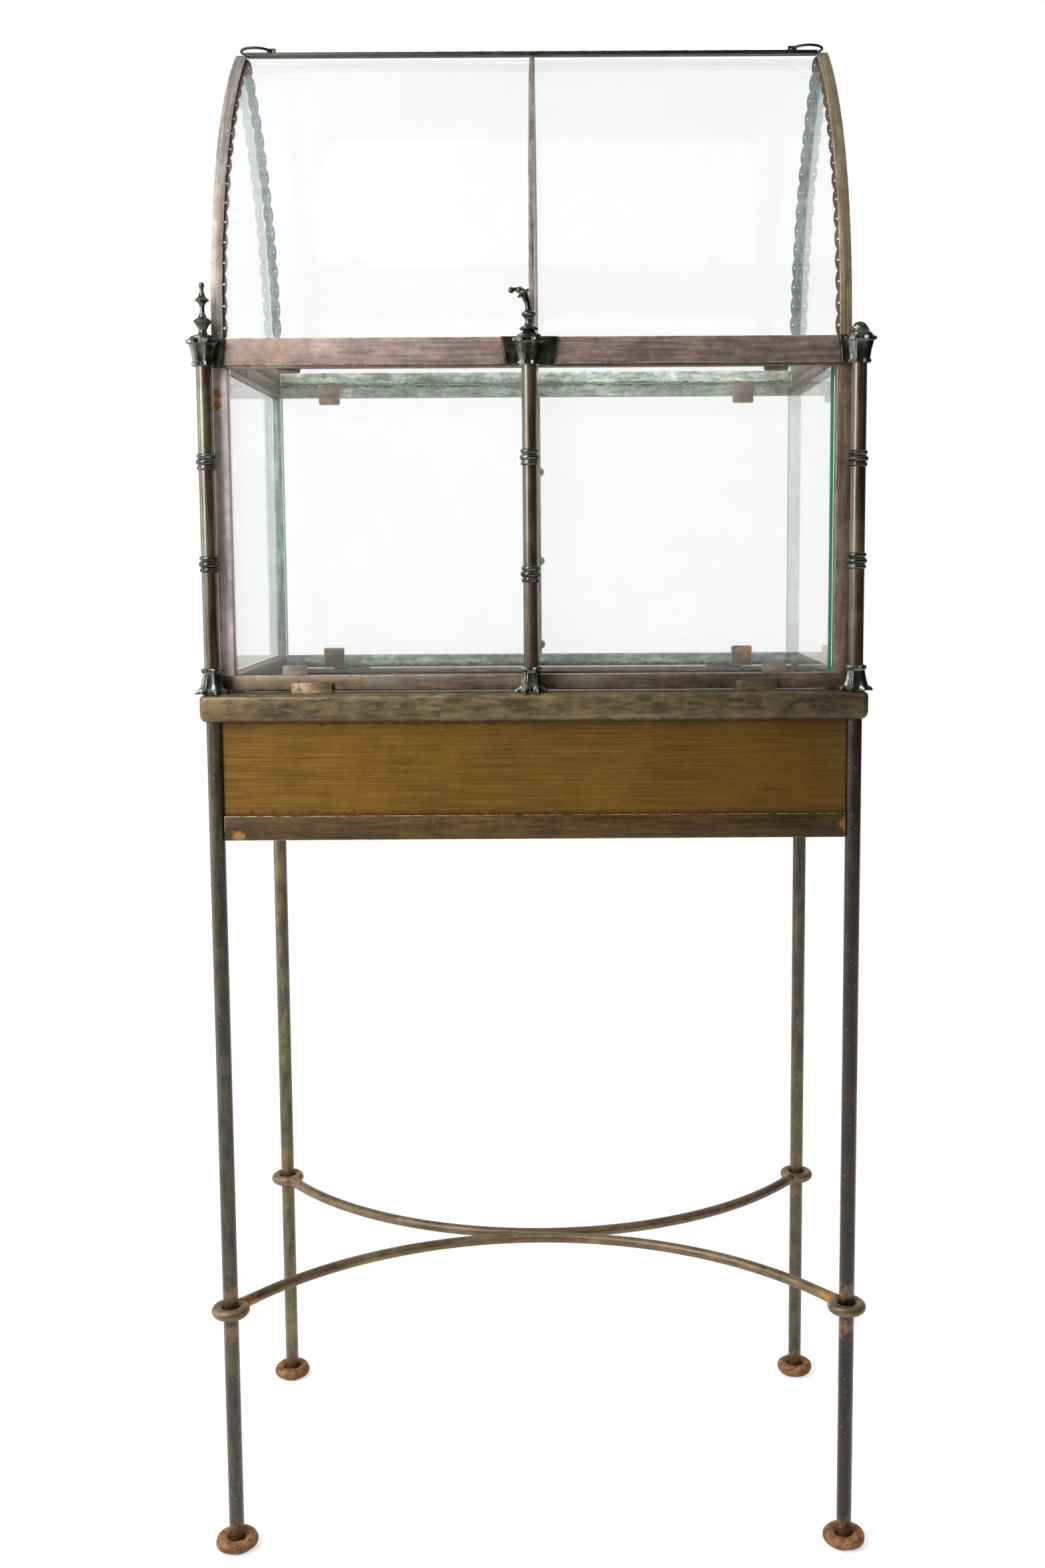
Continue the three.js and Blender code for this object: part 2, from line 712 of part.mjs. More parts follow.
// Roof frame, arches, trims and glazing bars.
function makeRoofFrame() {
  const innerX = caseHalfX - caseBar;
  const innerY = caseHalfY - caseBar;
  add("roof_base_frame", geometryOf(
    ringOfBar(caseHalfX, roofHalfY, innerX, innerY, roofBottom, springing),
  ), finishes.caseBar);
  const arcLength = trimOuter * arcEnd(trimOuter, 0);
  const scallops = Math.round(arcLength / scallopPitch);
  const stepsInScallop = 3;
  for (const [name, sign] of sides) {
    const bar = bentStrip(arcRadius, barInner, 0, 20,
      () => [sign * caseHalfX, sign * (caseHalfX - archWidth)], true);
    add(`end_arch_${name}`, bar, finishes.arch);
    const edge = (share) => {
      const wave = Math.abs(Math.sin(Math.PI * scallops * share));
      const valley = scallopDepth * (1 - wave);
      const outer = caseHalfX - trimInset - valley;
      return [sign * outer, sign * (caseHalfX - trimInset - trimWidth + valley)];
    };
    const trim = bentStrip(trimOuter, trimInner, 0, scallops * stepsInScallop, edge, true);
    add(`scalloped_trim_${name}`, trim, finishes.arch);
  }
  const underRidge = ridgeBottom - fit - springing;
  const barGap = Math.sqrt(arcRadius * arcRadius - underRidge * underRidge) - arcCentreY;
  for (const [name, sign] of ends) {
    const edges = () => [-glazingBarWidth / 2, glazingBarWidth / 2];
    const bar = bentStrip(arcRadius, paneInner, barGap, 20, edges, false, sign);
    add(`roof_bar_${name}`, bar, finishes.arch);
  }
}

// Ridge: a flat bar between the arches with a low scalloped crest, and a knuckle at each end.
function makeRidge() {
  const half = caseHalfX - archWidth - fit;
  const ringRadius = (ringDiameter - ringWire) / 2;
  const ringZ = ridgeTop + fit + ringWire / 2;
  const pivotX = caseHalfX - ringInset - ringDiameter + ringWire / 2;
  const crestHalf = pivotX - ringDiameter - ringWire;
  const bar = boxBetween([-half, -ridgeWidth / 2, ridgeBottom], [half, ridgeWidth / 2, ridgeTop]);
  const crest = new THREE.Shape();
  const scallops = Math.round(2 * crestHalf / scallopPitch);
  const stepsInScallop = 4;
  const lowShare = 0.4;
  const count = scallops * stepsInScallop;
  crest.moveTo(-crestHalf, -ridgeThickness / 2);
  for (let step = 0; step <= count; step += 1) {
    const wave = Math.abs(Math.sin(Math.PI * step / stepsInScallop));
    const height = crestHeight * (lowShare + (1 - lowShare) * wave);
    crest.lineTo(-crestHalf + 2 * crestHalf * step / count, height);
  }
  crest.lineTo(crestHalf, -ridgeThickness / 2);
  const cresting = new THREE.ExtrudeGeometry(crest, { depth: crestThickness, bevelEnabled: false });
  cresting.rotateX(Math.PI / 2).translate(0, crestThickness / 2, ridgeTop);
  let ridge = solidOf(bar).add(solidOf(cresting));
  for (const [name, sign] of sides) {
    const x = sign * pivotX;
    const knuckle = boxBetween(
      [x - knuckleLength / 2, -knuckleWidth / 2, ridgeTop - ridgeThickness / 2],
      [x + knuckleLength / 2, knuckleWidth / 2, ringZ + ringWire],
    );
    const bore = new THREE.CylinderGeometry(ringWire / 2 + 2 * fit, ringWire / 2 + 2 * fit,
      knuckleWidth + overrun, 14).translate(x, 0, ringZ);
    ridge = ridge.add(solidOf(knuckle)).subtract(solidOf(bore));
    const ring = new THREE.TorusGeometry(ringRadius, ringWire / 2, 6, 24);
    ring.translate(x + sign * ringRadius, 0, ringZ);
    add(`ring_handle_${name}`, ring, finishes.ridge);
  }
  add("ridge_bar", geometryOf(ridge), finishes.ridge);
}

// Panes of the roof: curved ones front and back, pointed flat ones in the ends.
function makeRoofPanes() {
  const outerX = caseHalfX - paneSeat;
  const gap = fit / 2;
  const innerX = glazingBarWidth / 2 + fit;
  for (const [sideName, sign] of sides) {
    for (const [endName, endSign] of ends) {
      const edges = () => [sign * outerX, sign * innerX];
      const pane = bentStrip(paneOuter, paneInner, gap, 20, edges, false, endSign);
      add(`roof_pane_${endName}_${sideName}`, pane, finishes.glass);
    }
    const top = arcEnd(gableRadius, 0);
    const outline = new THREE.Shape();
    outline.absarc(arcCentreY, 0, gableRadius, Math.PI, Math.PI - top, true);
    outline.absarc(-arcCentreY, 0, gableRadius, top, 0, true);
    const pane = new THREE.ExtrudeGeometry(outline, {
      depth: glassThickness,
      curveSegments: 10,
      bevelEnabled: false,
    });
    const turn = new THREE.Matrix4().makeBasis(
      new THREE.Vector3(0, 1, 0), new THREE.Vector3(0, 0, 1), new THREE.Vector3(1, 0, 0));
    pane.applyMatrix4(turn);
    const x = sign > 0 ? outerX - glassThickness : -outerX;
    add(`gable_pane_${sideName}`, pane.translate(x, 0, springing), finishes.glass);
  }
}

makeLegs();
makeStretchers();
makeTopFrame();
makeBottomFrame();
makeTray();
makeCaseFrame();
makeCasePanes();
const cornerMouldingShares = [0.368, 0.697];
const centreMouldingShares = [0.331, 0.707];
makeColonnette("left", -colonnetteX, [outerWing, innerWing], cornerMouldingShares);
makeColonnette("right", colonnetteX, [innerWing, outerWing], cornerMouldingShares);
const seat = makeColonnette("centre", centreColonnetteX, [centreWing, centreWing],
  centreMouldingShares);
makeFinials(seat);
makeRoofFrame();
makeRidge();
makeRoofPanes();

export default wardianCase;
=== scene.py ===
# A glazed plant case with a pointed barrel roof, on a tall stand of round bar and angle iron.
import json
import math

import bmesh
import bpy
from mathutils import Matrix, Vector

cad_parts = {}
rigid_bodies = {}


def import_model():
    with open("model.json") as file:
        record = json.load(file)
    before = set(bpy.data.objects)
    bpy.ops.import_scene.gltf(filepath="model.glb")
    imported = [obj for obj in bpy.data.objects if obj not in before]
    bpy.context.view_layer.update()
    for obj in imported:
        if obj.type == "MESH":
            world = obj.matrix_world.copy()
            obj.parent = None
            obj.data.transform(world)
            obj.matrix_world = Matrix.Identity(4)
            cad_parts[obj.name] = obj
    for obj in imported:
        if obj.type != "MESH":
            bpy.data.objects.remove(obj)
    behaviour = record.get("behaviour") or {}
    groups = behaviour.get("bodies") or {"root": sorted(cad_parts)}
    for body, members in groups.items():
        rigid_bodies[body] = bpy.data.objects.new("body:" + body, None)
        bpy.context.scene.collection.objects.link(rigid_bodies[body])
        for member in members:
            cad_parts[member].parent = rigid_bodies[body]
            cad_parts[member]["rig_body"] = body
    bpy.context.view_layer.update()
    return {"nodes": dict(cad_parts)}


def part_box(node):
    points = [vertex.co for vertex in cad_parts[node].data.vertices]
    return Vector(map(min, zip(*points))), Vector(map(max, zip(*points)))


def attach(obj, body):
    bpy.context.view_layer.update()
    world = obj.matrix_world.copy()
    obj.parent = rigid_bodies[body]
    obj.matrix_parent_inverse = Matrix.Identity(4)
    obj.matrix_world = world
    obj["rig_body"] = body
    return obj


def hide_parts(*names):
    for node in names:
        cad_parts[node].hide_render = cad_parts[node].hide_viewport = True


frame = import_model()
nodes = frame["nodes"]

# Camera: a long lens low in front of the case, tipped down a little, with a small sideways shift.
camera_data = bpy.data.cameras.new("camera")
camera = bpy.data.objects.new("camera", camera_data)
bpy.context.scene.collection.objects.link(camera)
bpy.context.scene.camera = camera
camera_data.lens = 37.14
camera_data.sensor_width = 36
camera_data.shift_x = -0.0248
camera_data.shift_y = -0.0424
camera_data.clip_end = 50
camera_turn = (
    Matrix.Rotation(-0.00155, 3, "Z")
    @ Matrix.Rotation(-0.10369, 3, "X")
    @ Matrix.Rotation(0.00585, 3, "Y")
    @ Matrix.Rotation(math.pi / 2, 3, "X")
)
camera.matrix_world = Matrix.Translation((0.022, -1.6009, 0.9352)) @ camera_turn.to_4x4()


# Studio: a white floor that keeps the soft shadow of the case, in a white room. The camera and
# the glass see plain white. The room is bright at the left, above and behind, and dim elsewhere.
def linear(hex_value):
    """An sRGB colour written as six hex digits, as linear red, green, blue and alpha."""
    channels = [int(hex_value[i:i + 2], 16) / 255 for i in (1, 3, 5)]
    curve = [c / 12.92 if c <= 0.04045 else ((c + 0.055) / 1.055) ** 2.4 for c in channels]
    return (*curve, 1)


def node(tree, kind, settings=None, **links):
    """Adds a node. Settings name its properties; links name its inputs, as values or outputs."""
    made = tree.nodes.new(kind)
    for name, value in (settings or {}).items():
        setattr(made, name, value)
    for name, value in links.items():
        key = int(name[1:]) if name[0] == "i" and name[1:].isdigit() else name.replace("_", " ")
        socket = made.inputs[key]
        if isinstance(value, bpy.types.NodeSocket):
            tree.links.new(value, socket)
        else:
            socket.default_value = value
    return made


def worked_out(tree, operation, *values):
    """The output of a math node on one or two values or outputs."""
    links = {f"i{number}": value for number, value in enumerate(values)}
    return node(tree, "ShaderNodeMath", {"operation": operation}, **links).outputs[0]


def new_material(name, **inputs):
    """A material with a principled shader. Returns it, its node tree and the shader."""
    material = bpy.data.materials.new(name)
    material.use_nodes = True
    tree = material.node_tree
    shader = tree.nodes["Principled BSDF"]
    for key, value in inputs.items():
        shader.inputs[key.replace("_", " ")].default_value = value
    return material, tree, shader


def seen_plainly(tree):
    """1 where the ray comes from the camera, off a mirror or through glass, and 0 elsewhere."""
    ray = node(tree, "ShaderNodeLightPath").outputs
    mirrored = worked_out(tree, "MAXIMUM", ray["Is Camera Ray"], ray["Is Glossy Ray"])
    return worked_out(tree, "MAXIMUM", mirrored, ray["Is Transmission Ray"])


scene = bpy.context.scene
scene.view_settings.view_transform = "Standard"

sky = bpy.data.worlds.new("white_room")
scene.world = sky
sky.use_nodes = True
sky_tree = sky.node_tree
sky_tree.nodes.clear()
smooth = {"interpolation_type": "SMOOTHSTEP"}
way = node(sky_tree, "ShaderNodeSeparateXYZ",
           i0=node(sky_tree, "ShaderNodeTexCoord").outputs["Generated"]).outputs
from_left = node(sky_tree, "ShaderNodeMapRange", smooth, i0=way["X"], i1=-0.9, i2=0.25,
                 i3=0.8, i4=0.04)
behind = node(sky_tree, "ShaderNodeMapRange", smooth, i0=way["Y"], i1=0.3, i2=0.95)
above = node(sky_tree, "ShaderNodeMapRange", smooth, i0=way["Z"], i1=0.25, i2=0.9, i4=0.7)
room = worked_out(sky_tree, "MAXIMUM", from_left.outputs[0], behind.outputs[0])
room = worked_out(sky_tree, "MAXIMUM", room, above.outputs[0])
ray = node(sky_tree, "ShaderNodeLightPath").outputs
straight = worked_out(sky_tree, "MAXIMUM", ray["Is Camera Ray"], ray["Is Transmission Ray"])
level = node(sky_tree, "ShaderNodeMapRange", i0=straight, i3=room, i4=1.0)
sky_light = node(sky_tree, "ShaderNodeBackground", Color=linear("#ffffff"),
                 Strength=level.outputs[0])
node(sky_tree, "ShaderNodeOutputWorld", Surface=sky_light.outputs[0])

case_middle = Vector((0, 0, 0.9))
for name, place, width, height, power in (
    ("key_lamp", (-0.86, -0.86, 1.5), 0.55, 1.3, 25),
    ("strip_lamp", (-2.0, -0.2, 1.0), 0.3, 1.9, 14),
):
    lamp_data = bpy.data.lights.new(name, "AREA")
    lamp_data.shape = "RECTANGLE"
    lamp_data.size = width
    lamp_data.size_y = height
    lamp_data.energy = power
    lamp = bpy.data.objects.new(name, lamp_data)
    scene.collection.objects.link(lamp)
    lamp.location = place
    lamp.rotation_euler = (case_middle - Vector(place)).to_track_quat("-Z", "Y").to_euler()

floor_half_width = 3
floor_drop = 0.0005
floor_mesh = bpy.data.meshes.new("floor")
floor_form = bmesh.new()
bmesh.ops.create_grid(floor_form, x_segments=1, y_segments=1, size=floor_half_width)
floor_form.to_mesh(floor_mesh)
floor_form.free()
floor = bpy.data.objects.new("floor", floor_mesh)
scene.collection.objects.link(floor)
floor.location.z = -floor_drop
floor_paper, tree, shader = new_material("white_paper", Base_Color=linear("#c8c8c8"),
                                         Roughness=0.9, Emission_Color=linear("#ffffff"))
floor_glow = node(tree, "ShaderNodeMapRange", i0=seen_plainly(tree), i3=0.0, i4=0.62)
tree.links.new(floor_glow.outputs[0], shader.inputs["Emission Strength"])
floor_mesh.materials.append(floor_paper)


# Legs: four lengths of half inch round mild steel bar, blackened long ago and dressed at the
# foot. Handling has left them dark grey-green and speckled, with rust by the rings and eyes.
def aged_metal(name, ground, tone, edge_wear_and_highlight, spot, grain, metallic=0.55, roughness=0.5,
               spots_from=0.66, relief=0.15, rust_and_shade_heights=(), rusty_places=(), rust_and_shade="#8a5a30",
               stain=None, stain_from=0.52, cloud=0.25, lacquer=0, ends=(1, 1)):
    """Old metal: two tones streaked along the grain, spotted, and paler on its bevelled edges,
    which is wear and a painted highlight.

    grain is the length of a streak in millimetres along X, Y and Z. A second colour shows in
    bands round heights, pairs of a height and a reach, and round the rusty_places, each a point
    and a reach, all in millimetres: rust round the places, and at the heights rust on some
    finishes, painted shade on others. A stain lies in large soft patches. ends says how much of
    its colour the left and the right end keep: painted shade below 1, painted light above 1.
    Grit and mottle are drawn coarser than they are, so that they show."""
    patch_size, cloud_size, mottle_size, grit_size = 85, 38, 7, 2.6
    mixed = {"data_type": "RGBA"}
    multiplied = {"data_type": "RGBA", "blend_type": "MULTIPLY"}
    metal, tree, shader = new_material(name, Metallic=metallic, Coat_Weight=lacquer,
                                       Coat_Roughness=0.16)
    place = node(tree, "ShaderNodeTexCoord").outputs["Object"]
    along = node(tree, "ShaderNodeMapping", Vector=place, Scale=[1000 / length for length in grain])
    streaks = node(tree, "ShaderNodeTexNoise", Vector=along.outputs[0], Scale=1, Detail=5,
                   Roughness=0.65)
    clouds = node(tree, "ShaderNodeTexNoise", Vector=place, Scale=1000 / cloud_size,
                  Detail=4, Roughness=0.6)
    grit = node(tree, "ShaderNodeTexNoise", Vector=place, Scale=1000 / grit_size, Detail=3,
                Roughness=0.6)
    streak_share = node(tree, "ShaderNodeMapRange", smooth, i0=streaks.outputs["Fac"],
                        i1=0.36, i2=0.64)
    colour = node(tree, "ShaderNodeMix", mixed, i0=streak_share.outputs[0], i6=linear(ground),
                  i7=linear(tone)).outputs[2]
    if stain:
        patches = node(tree, "ShaderNodeTexNoise", Vector=place, Scale=1000 / patch_size,
                       Detail=5, Roughness=0.6)
        stained = node(tree, "ShaderNodeMapRange", smooth, i0=patches.outputs["Fac"],
                       i1=stain_from, i2=stain_from + 0.16, i4=0.8)
        colour = node(tree, "ShaderNodeMix", mixed, i0=stained.outputs[0], i6=colour,
                      i7=linear(stain)).outputs[2]
    mottle = node(tree, "ShaderNodeTexNoise", Vector=place, Scale=1000 / mottle_size,
                  Detail=4, Roughness=0.7)
    for pattern, depth in ((clouds, cloud), (mottle, 0.8 * cloud)):
        share = node(tree, "ShaderNodeMapRange", i0=pattern.outputs["Fac"], i1=0.3, i2=0.7,
                     i3=1 - depth, i4=1 + depth)
        colour = node(tree, "ShaderNodeMix", multiplied, i0=1.0, i6=colour,
                      i7=share.outputs[0]).outputs[2]
    where = node(tree, "ShaderNodeSeparateXYZ", i0=place).outputs
    # Painted light and shade: toward each end the colour is darkened where its share is below 1 and
    # lightened where it is above 1.
    unshaded_reach, shaded_reach = 0.02, 0.29
    for toward, share in zip((-1, 1), ends if ends != (1, 1) else ()):
        end_shade = node(tree, "ShaderNodeMapRange", smooth, i0=where["X"], i1=unshaded_reach * toward,
                    i2=shaded_reach * toward, i3=1, i4=share)
        colour = node(tree, "ShaderNodeMix", multiplied, i0=1.0, i6=colour,
                      i7=end_shade.outputs[0]).outputs[2]
    # Bands and spots of a second colour: rust round the places, and round the heights rust on some
    # finishes and painted shade on others.
    nearness = []
    for centre, reach in rust_and_shade_heights:
        away = worked_out(tree, "SUBTRACT", where["Z"], centre / 1000)
        nearness.append((worked_out(tree, "ABSOLUTE", away), reach, 0.42))
    for (*centre, reach) in rusty_places:
        away = node(tree, "ShaderNodeVectorMath", {"operation": "DISTANCE"}, i0=place,
                    i1=[length / 1000 for length in centre])
        nearness.append((away.outputs["Value"], reach, 0.6))
    for away, reach, strength in nearness:
        near = node(tree, "ShaderNodeMapRange", i0=away, i1=0, i2=reach / 1000, i3=strength, i4=0)
        rust_and_shade_noise = worked_out(tree, "ADD", near.outputs[0], mottle.outputs["Fac"])
        rust_and_shade_share = node(tree, "ShaderNodeMapRange", smooth, i0=rust_and_shade_noise, i1=0.66, i2=0.92)
        colour = node(tree, "ShaderNodeMix", mixed, i0=rust_and_shade_share.outputs[0], i6=colour,
                      i7=linear(rust_and_shade)).outputs[2]
    spotted = node(tree, "ShaderNodeMapRange", smooth, i0=grit.outputs["Fac"], i1=spots_from,
                   i2=spots_from + 0.07)
    colour = node(tree, "ShaderNodeMix", mixed, i0=spotted.outputs[0], i6=colour,
                  i7=linear(spot)).outputs[2]
    # Bevelled edges are painted pale: wear, and a painted highlight where edges catch the light.
    edge = node(tree, "ShaderNodeAttribute", {"attribute_name": "edge_wear_and_highlight"}).outputs["Fac"]
    patchy = node(tree, "ShaderNodeMapRange", smooth, i0=mottle.outputs["Fac"], i1=0.38, i2=0.6)
    wear_and_highlight = worked_out(tree, "MULTIPLY", edge, patchy.outputs[0])
    colour = node(tree, "ShaderNodeMix", mixed, i0=wear_and_highlight, i6=colour,
                  i7=linear(edge_wear_and_highlight)).outputs[2]
    tree.links.new(colour, shader.inputs["Base Color"])
    shine = node(tree, "ShaderNodeMapRange", i0=streaks.outputs["Fac"], i1=0.3, i2=0.7,
                 i3=roughness - 0.1, i4=roughness + 0.14)
    tree.links.new(shine.outputs[0], shader.inputs["Roughness"])
    pit_depth, streak_depth = 0.0003, 0.0006
    pits = node(tree, "ShaderNodeBump", Strength=relief, Distance=pit_depth,
                Height=grit.outputs["Fac"])
    lay = node(tree, "ShaderNodeBump", Strength=relief, Distance=streak_depth,
               Height=streaks.outputs["Fac"], Normal=pits.outputs[0])
    tree.links.new(lay.outputs[0], shader.inputs["Normal"])
    return metal


def fit_piece(form, finish, cad_name, sharp=35):
    """Makes a finished mesh an object that stands for a CAD node and moves with its body.

    Edges that turn less than the sharp angle are shaded round."""
    form.normal_update()
    for face in form.faces:
        face.smooth = True
    for edge in form.edges:
        edge.smooth = edge.is_manifold and edge.calc_face_angle() < math.radians(sharp)
    mesh = bpy.data.meshes.new("fine_" + cad_name)
    form.to_mesh(mesh)
    form.free()
    mesh.materials.append(finish)
    piece = bpy.data.objects.new("fine_" + cad_name, mesh)
    scene.collection.objects.link(piece)
    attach(piece, nodes[cad_name]["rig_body"])
    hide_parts(cad_name)
    return piece


# Each leg has tones of its own, painted lighter or darker for the light it gets: painted light and
# shade. The front right leg is painted darkest and the rear legs lightest.
leg_tones_lit_and_shaded = {("front", "left"): ("#2c291d", "#4b4631", "#5a5336"),
             ("front", "right"): ("#1a130b", "#2e2317", "#352818"),
             ("rear", "left"): ("#463e28", "#716643", "#7a6c44"),
             ("rear", "right"): ("#37301e", "#5d5338", "#655939")}
corners = list(leg_tones_lit_and_shaded)
foot_chamfer = 0.0012
for (end, side), (ground, tone, stain) in leg_tones_lit_and_shaded.items():
    leg_finish = aged_metal(f"blackened_round_bar_{end}_{side}", ground, tone, "#7d7462",
                            "#a3977f", grain=(7, 7, 30), metallic=0.5, roughness=0.36,
                            spots_from=0.66, rust_and_shade="#735636", stain=stain, lacquer=0.25,
                            rust_and_shade_heights=((14, 30), (215, 20), (249, 16)))
    low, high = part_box(f"leg_{end}_{side}")
    leg_radius = (high.x - low.x) / 2
    leg = bmesh.new()
    bmesh.ops.create_cone(leg, cap_ends=True, segments=40, radius1=leg_radius,
                          radius2=leg_radius, depth=high.z - low.z,
                          matrix=Matrix.Translation((low + high) / 2))
    foot_edges = [edge for edge in leg.edges
                  if all(v.co.z < low.z + foot_chamfer for v in edge.verts)]
    bmesh.ops.bevel(leg, geom=foot_edges, offset=foot_chamfer, segments=3, profile=0.5,
                    affect="EDGES", material=-1)
    fit_piece(leg, leg_finish, f"leg_{end}_{side}")


# Foot rings: half inch bar bent hot into a ring round each foot and hammered shut, so that
# its thickness swells and thins. They stand on damp floors and are rusty all over.
def edges_at(verts):
    """The edges that end at some vertices, each one once."""
    return list(dict.fromkeys(edge for vert in verts for edge in vert.link_edges))


def forged_ring(form, centre, ring_radius, bar_radius, phase, squeeze=0.07):
    """A round bar bent to a closed ring by hand, which swells and thins along its way."""
    start = Matrix.Translation(centre + Vector((ring_radius, 0, 0)))
    section = bmesh.ops.create_circle(form, segments=14, radius=bar_radius,
                                      matrix=start @ Matrix.Rotation(math.pi / 2, 4, "X"))
    loop = edges_at(section["verts"])
    bmesh.ops.spin(form, geom=section["verts"] + loop, cent=centre, axis=(0, 0, 1),
                   angle=2 * math.pi, steps=48, use_merge=True)
    for vert in form.verts:
        across = vert.co - centre
        if across.length > ring_radius + 2 * bar_radius:
            continue
        turn = math.atan2(across.y, across.x)
        core = centre + Vector((math.cos(turn), math.sin(turn), 0)) * ring_radius
        swell = math.sin(2 * turn + phase) + 0.7 * math.sin(5 * turn + 2.3 * phase)
        vert.co = core + (vert.co - core) * (1 - squeeze + squeeze * 0.6 * swell)


def turn_outwards(form):
    """Turns all the faces of a closed mesh outwards."""
    bmesh.ops.recalc_face_normals(form, faces=form.faces)


ring_finish = aged_metal("rusted_forged_iron", "#744723", "#a87d50", "#a58a70", "#4a3020",
                         grain=(7, 7, 4), metallic=0.25, roughness=0.68, spots_from=0.6,
                         relief=0.5)
for turn, (end, side) in enumerate(corners):
    low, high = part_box(f"foot_ring_{end}_{side}")
    bar_radius = (high.z - low.z) / 2
    ring = bmesh.new()
    forged_ring(ring, (low + high) / 2, (high.x - low.x) / 2 - bar_radius, bar_radius,
                phase=1.7 * turn + 0.6)
    turn_outwards(ring)
    fit_piece(ring, ring_finish, f"foot_ring_{end}_{side}", sharp=60)


# Stretchers: two rods, each bent to a long bow and forged at both ends into an eye round a
# leg. The bows touch in the middle. Their olive brown paint is rubbed through near the eyes.
stretcher_finish = aged_metal("worn_olive_rod", "#5e4d35", "#7b6950", "#9b8a76", "#a4703c",
                              grain=(60, 12, 5), metallic=0.5, roughness=0.42,
                              spots_from=0.7, relief=0.3, stain="#8a7654", rust_and_shade="#a5763f",
                              rusty_places=[(x, y, 235, 20) for x in (-266, 266)
                                            for y in (-150, 150)])


def verts_among(geom):
    """The vertices among the elements that an operator gives back."""
    return [part for part in geom if isinstance(part, bmesh.types.BMVert)]


def close_holes(form):
    """Fills every open loop of a mesh with a face."""
    bmesh.ops.holes_fill(form, edges=[edge for edge in form.edges if edge.is_boundary])


touching_gap = 0.0003
forged_length = 0.03
forged_swell = 0.14
leg_low, leg_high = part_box("leg_front_right")
leg_axis = (leg_low + leg_high) / 2
for end, toward in (("front", -1), ("rear", 1)):
    low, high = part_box(f"stretcher_{end}")
    bar_radius = (high.z - low.z) / 2
    height = (low.z + high.z) / 2
    sag = abs(leg_axis.y) - bar_radius - touching_gap / 2
    bow_radius = (leg_axis.x ** 2 + sag ** 2) / (2 * sag)
    half_angle = math.asin(leg_axis.x / bow_radius)
    eye_radius = high.x - leg_axis.x - bar_radius
    reach = half_angle - eye_radius / bow_radius
    bow_centre = Vector((0, toward * (bar_radius + touching_gap / 2 + bow_radius), height))
    rod = bmesh.new()
    for sign in (-1, 1):
        forged_ring(rod, Vector((sign * leg_axis.x, toward * abs(leg_axis.y), height)),
                    eye_radius, bar_radius, phase=2.1 * sign + toward, squeeze=0.03)
    start = Matrix.Translation((-bow_radius * math.sin(reach),
                                bow_centre.y - toward * bow_radius * math.cos(reach), height))
    square_on = Matrix.Rotation(-toward * reach, 4, "Z") @ Matrix.Rotation(math.pi / 2, 4, "Y")
    section = bmesh.ops.create_circle(rod, segments=14, radius=bar_radius,
                                      matrix=start @ square_on)
    loop = edges_at(section["verts"])
    before = set(rod.verts) - set(section["verts"])
    bmesh.ops.spin(rod, geom=section["verts"] + loop, cent=bow_centre, axis=(0, 0, 1),
                   angle=toward * 2 * reach, steps=56)
    for vert in set(rod.verts) - before:
        turn = math.atan2(vert.co.x, -toward * (vert.co.y - bow_centre.y))
        core = bow_centre + bow_radius * Vector((math.sin(turn), -toward * math.cos(turn), 0))
        near_eye = max(0, 1 - (reach - abs(turn)) * bow_radius / forged_length)
        vert.co = core + (vert.co - core) * (0.97 + forged_swell * near_eye ** 2)
    close_holes(rod)
    turn_outwards(rod)
    fit_piece(rod, stretcher_finish, f"stretcher_{end}")


# Stand top frame: one inch angle iron bent and welded, its wide leg flat on top. Its corners are
# ground round, its edges are painted pale for wear and as a painted highlight, and four small lugs
# keep the case in place.
def round_edges(form, rounding, segments=2, turn=40):
    """Rounds the edges of a mesh that turn more than an angle, and marks them to be painted pale:
    wear, and a painted highlight.
    """
    edge_wear_and_highlight = form.faces.layers.float.get("edge_wear_and_highlight") or form.faces.layers.float.new("edge_wear_and_highlight")
    sharp = [edge for edge in form.edges
             if edge.is_manifold and edge.calc_face_angle() > math.radians(turn)]
    rounded = bmesh.ops.bevel(form, geom=sharp, offset=rounding, segments=segments, profile=0.5,
                              affect="EDGES", material=-1, clamp_overlap=True)
    for face in rounded["faces"]:
        face[edge_wear_and_highlight] = 1


def copy_of(cad_name):
    """A merged copy of a CAD solid, ready to be shaped."""
    form = bmesh.new()
    form.from_mesh(nodes[cad_name].data)
    bmesh.ops.remove_doubles(form, verts=form.verts, dist=0.00002)
    bmesh.ops.dissolve_limit(form, angle_limit=0.01, verts=form.verts, edges=form.edges)
    return form


def everything_of(form):
    """All the vertices, edges and faces of a mesh."""
    return list(form.verts) + list(form.edges) + list(form.faces)


def softened(cad_name, rounding, segments=2, turn=40):
    """A copy of a CAD solid with its sharp edges rounded."""
    form = copy_of(cad_name)
    form.normal_update()
    round_edges(form, rounding, segments, turn)
    return form


# Painted shade: the rail is darkened toward both ends, most at the right.
top_rail_finish = aged_metal("worn_grey_brown_angle", "#564a35", "#7a694a", "#b3a68c", "#857a62",
                             grain=(14, 7, 3.5), metallic=0.6, roughness=0.46, spots_from=0.67,
                             stain="#7f6d4b", stain_from=0.5, rust_and_shade="#8f7a5e",
                             ends=(0.78, 0.58), rusty_places=((-205, -151, 818, 18),))
hair = 0.0001  # heights that differ by less count as equal
top_frame = copy_of("stand_top_frame")
low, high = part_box("stand_top_frame")
lug_rise = 0.009
iron_width = 0.0254
corner_reach = 0.0085
frame_top = high.z - lug_rise
frame_low = frame_top - iron_width
upper_round = 0.005
lower_round = 0.007
cuts = [frame_top - upper_round * share for share in (0.45, 0.7, 1)]
cuts += [frame_low + lower_round * share for share in (0.1, 0.3, 0.6, 1)]
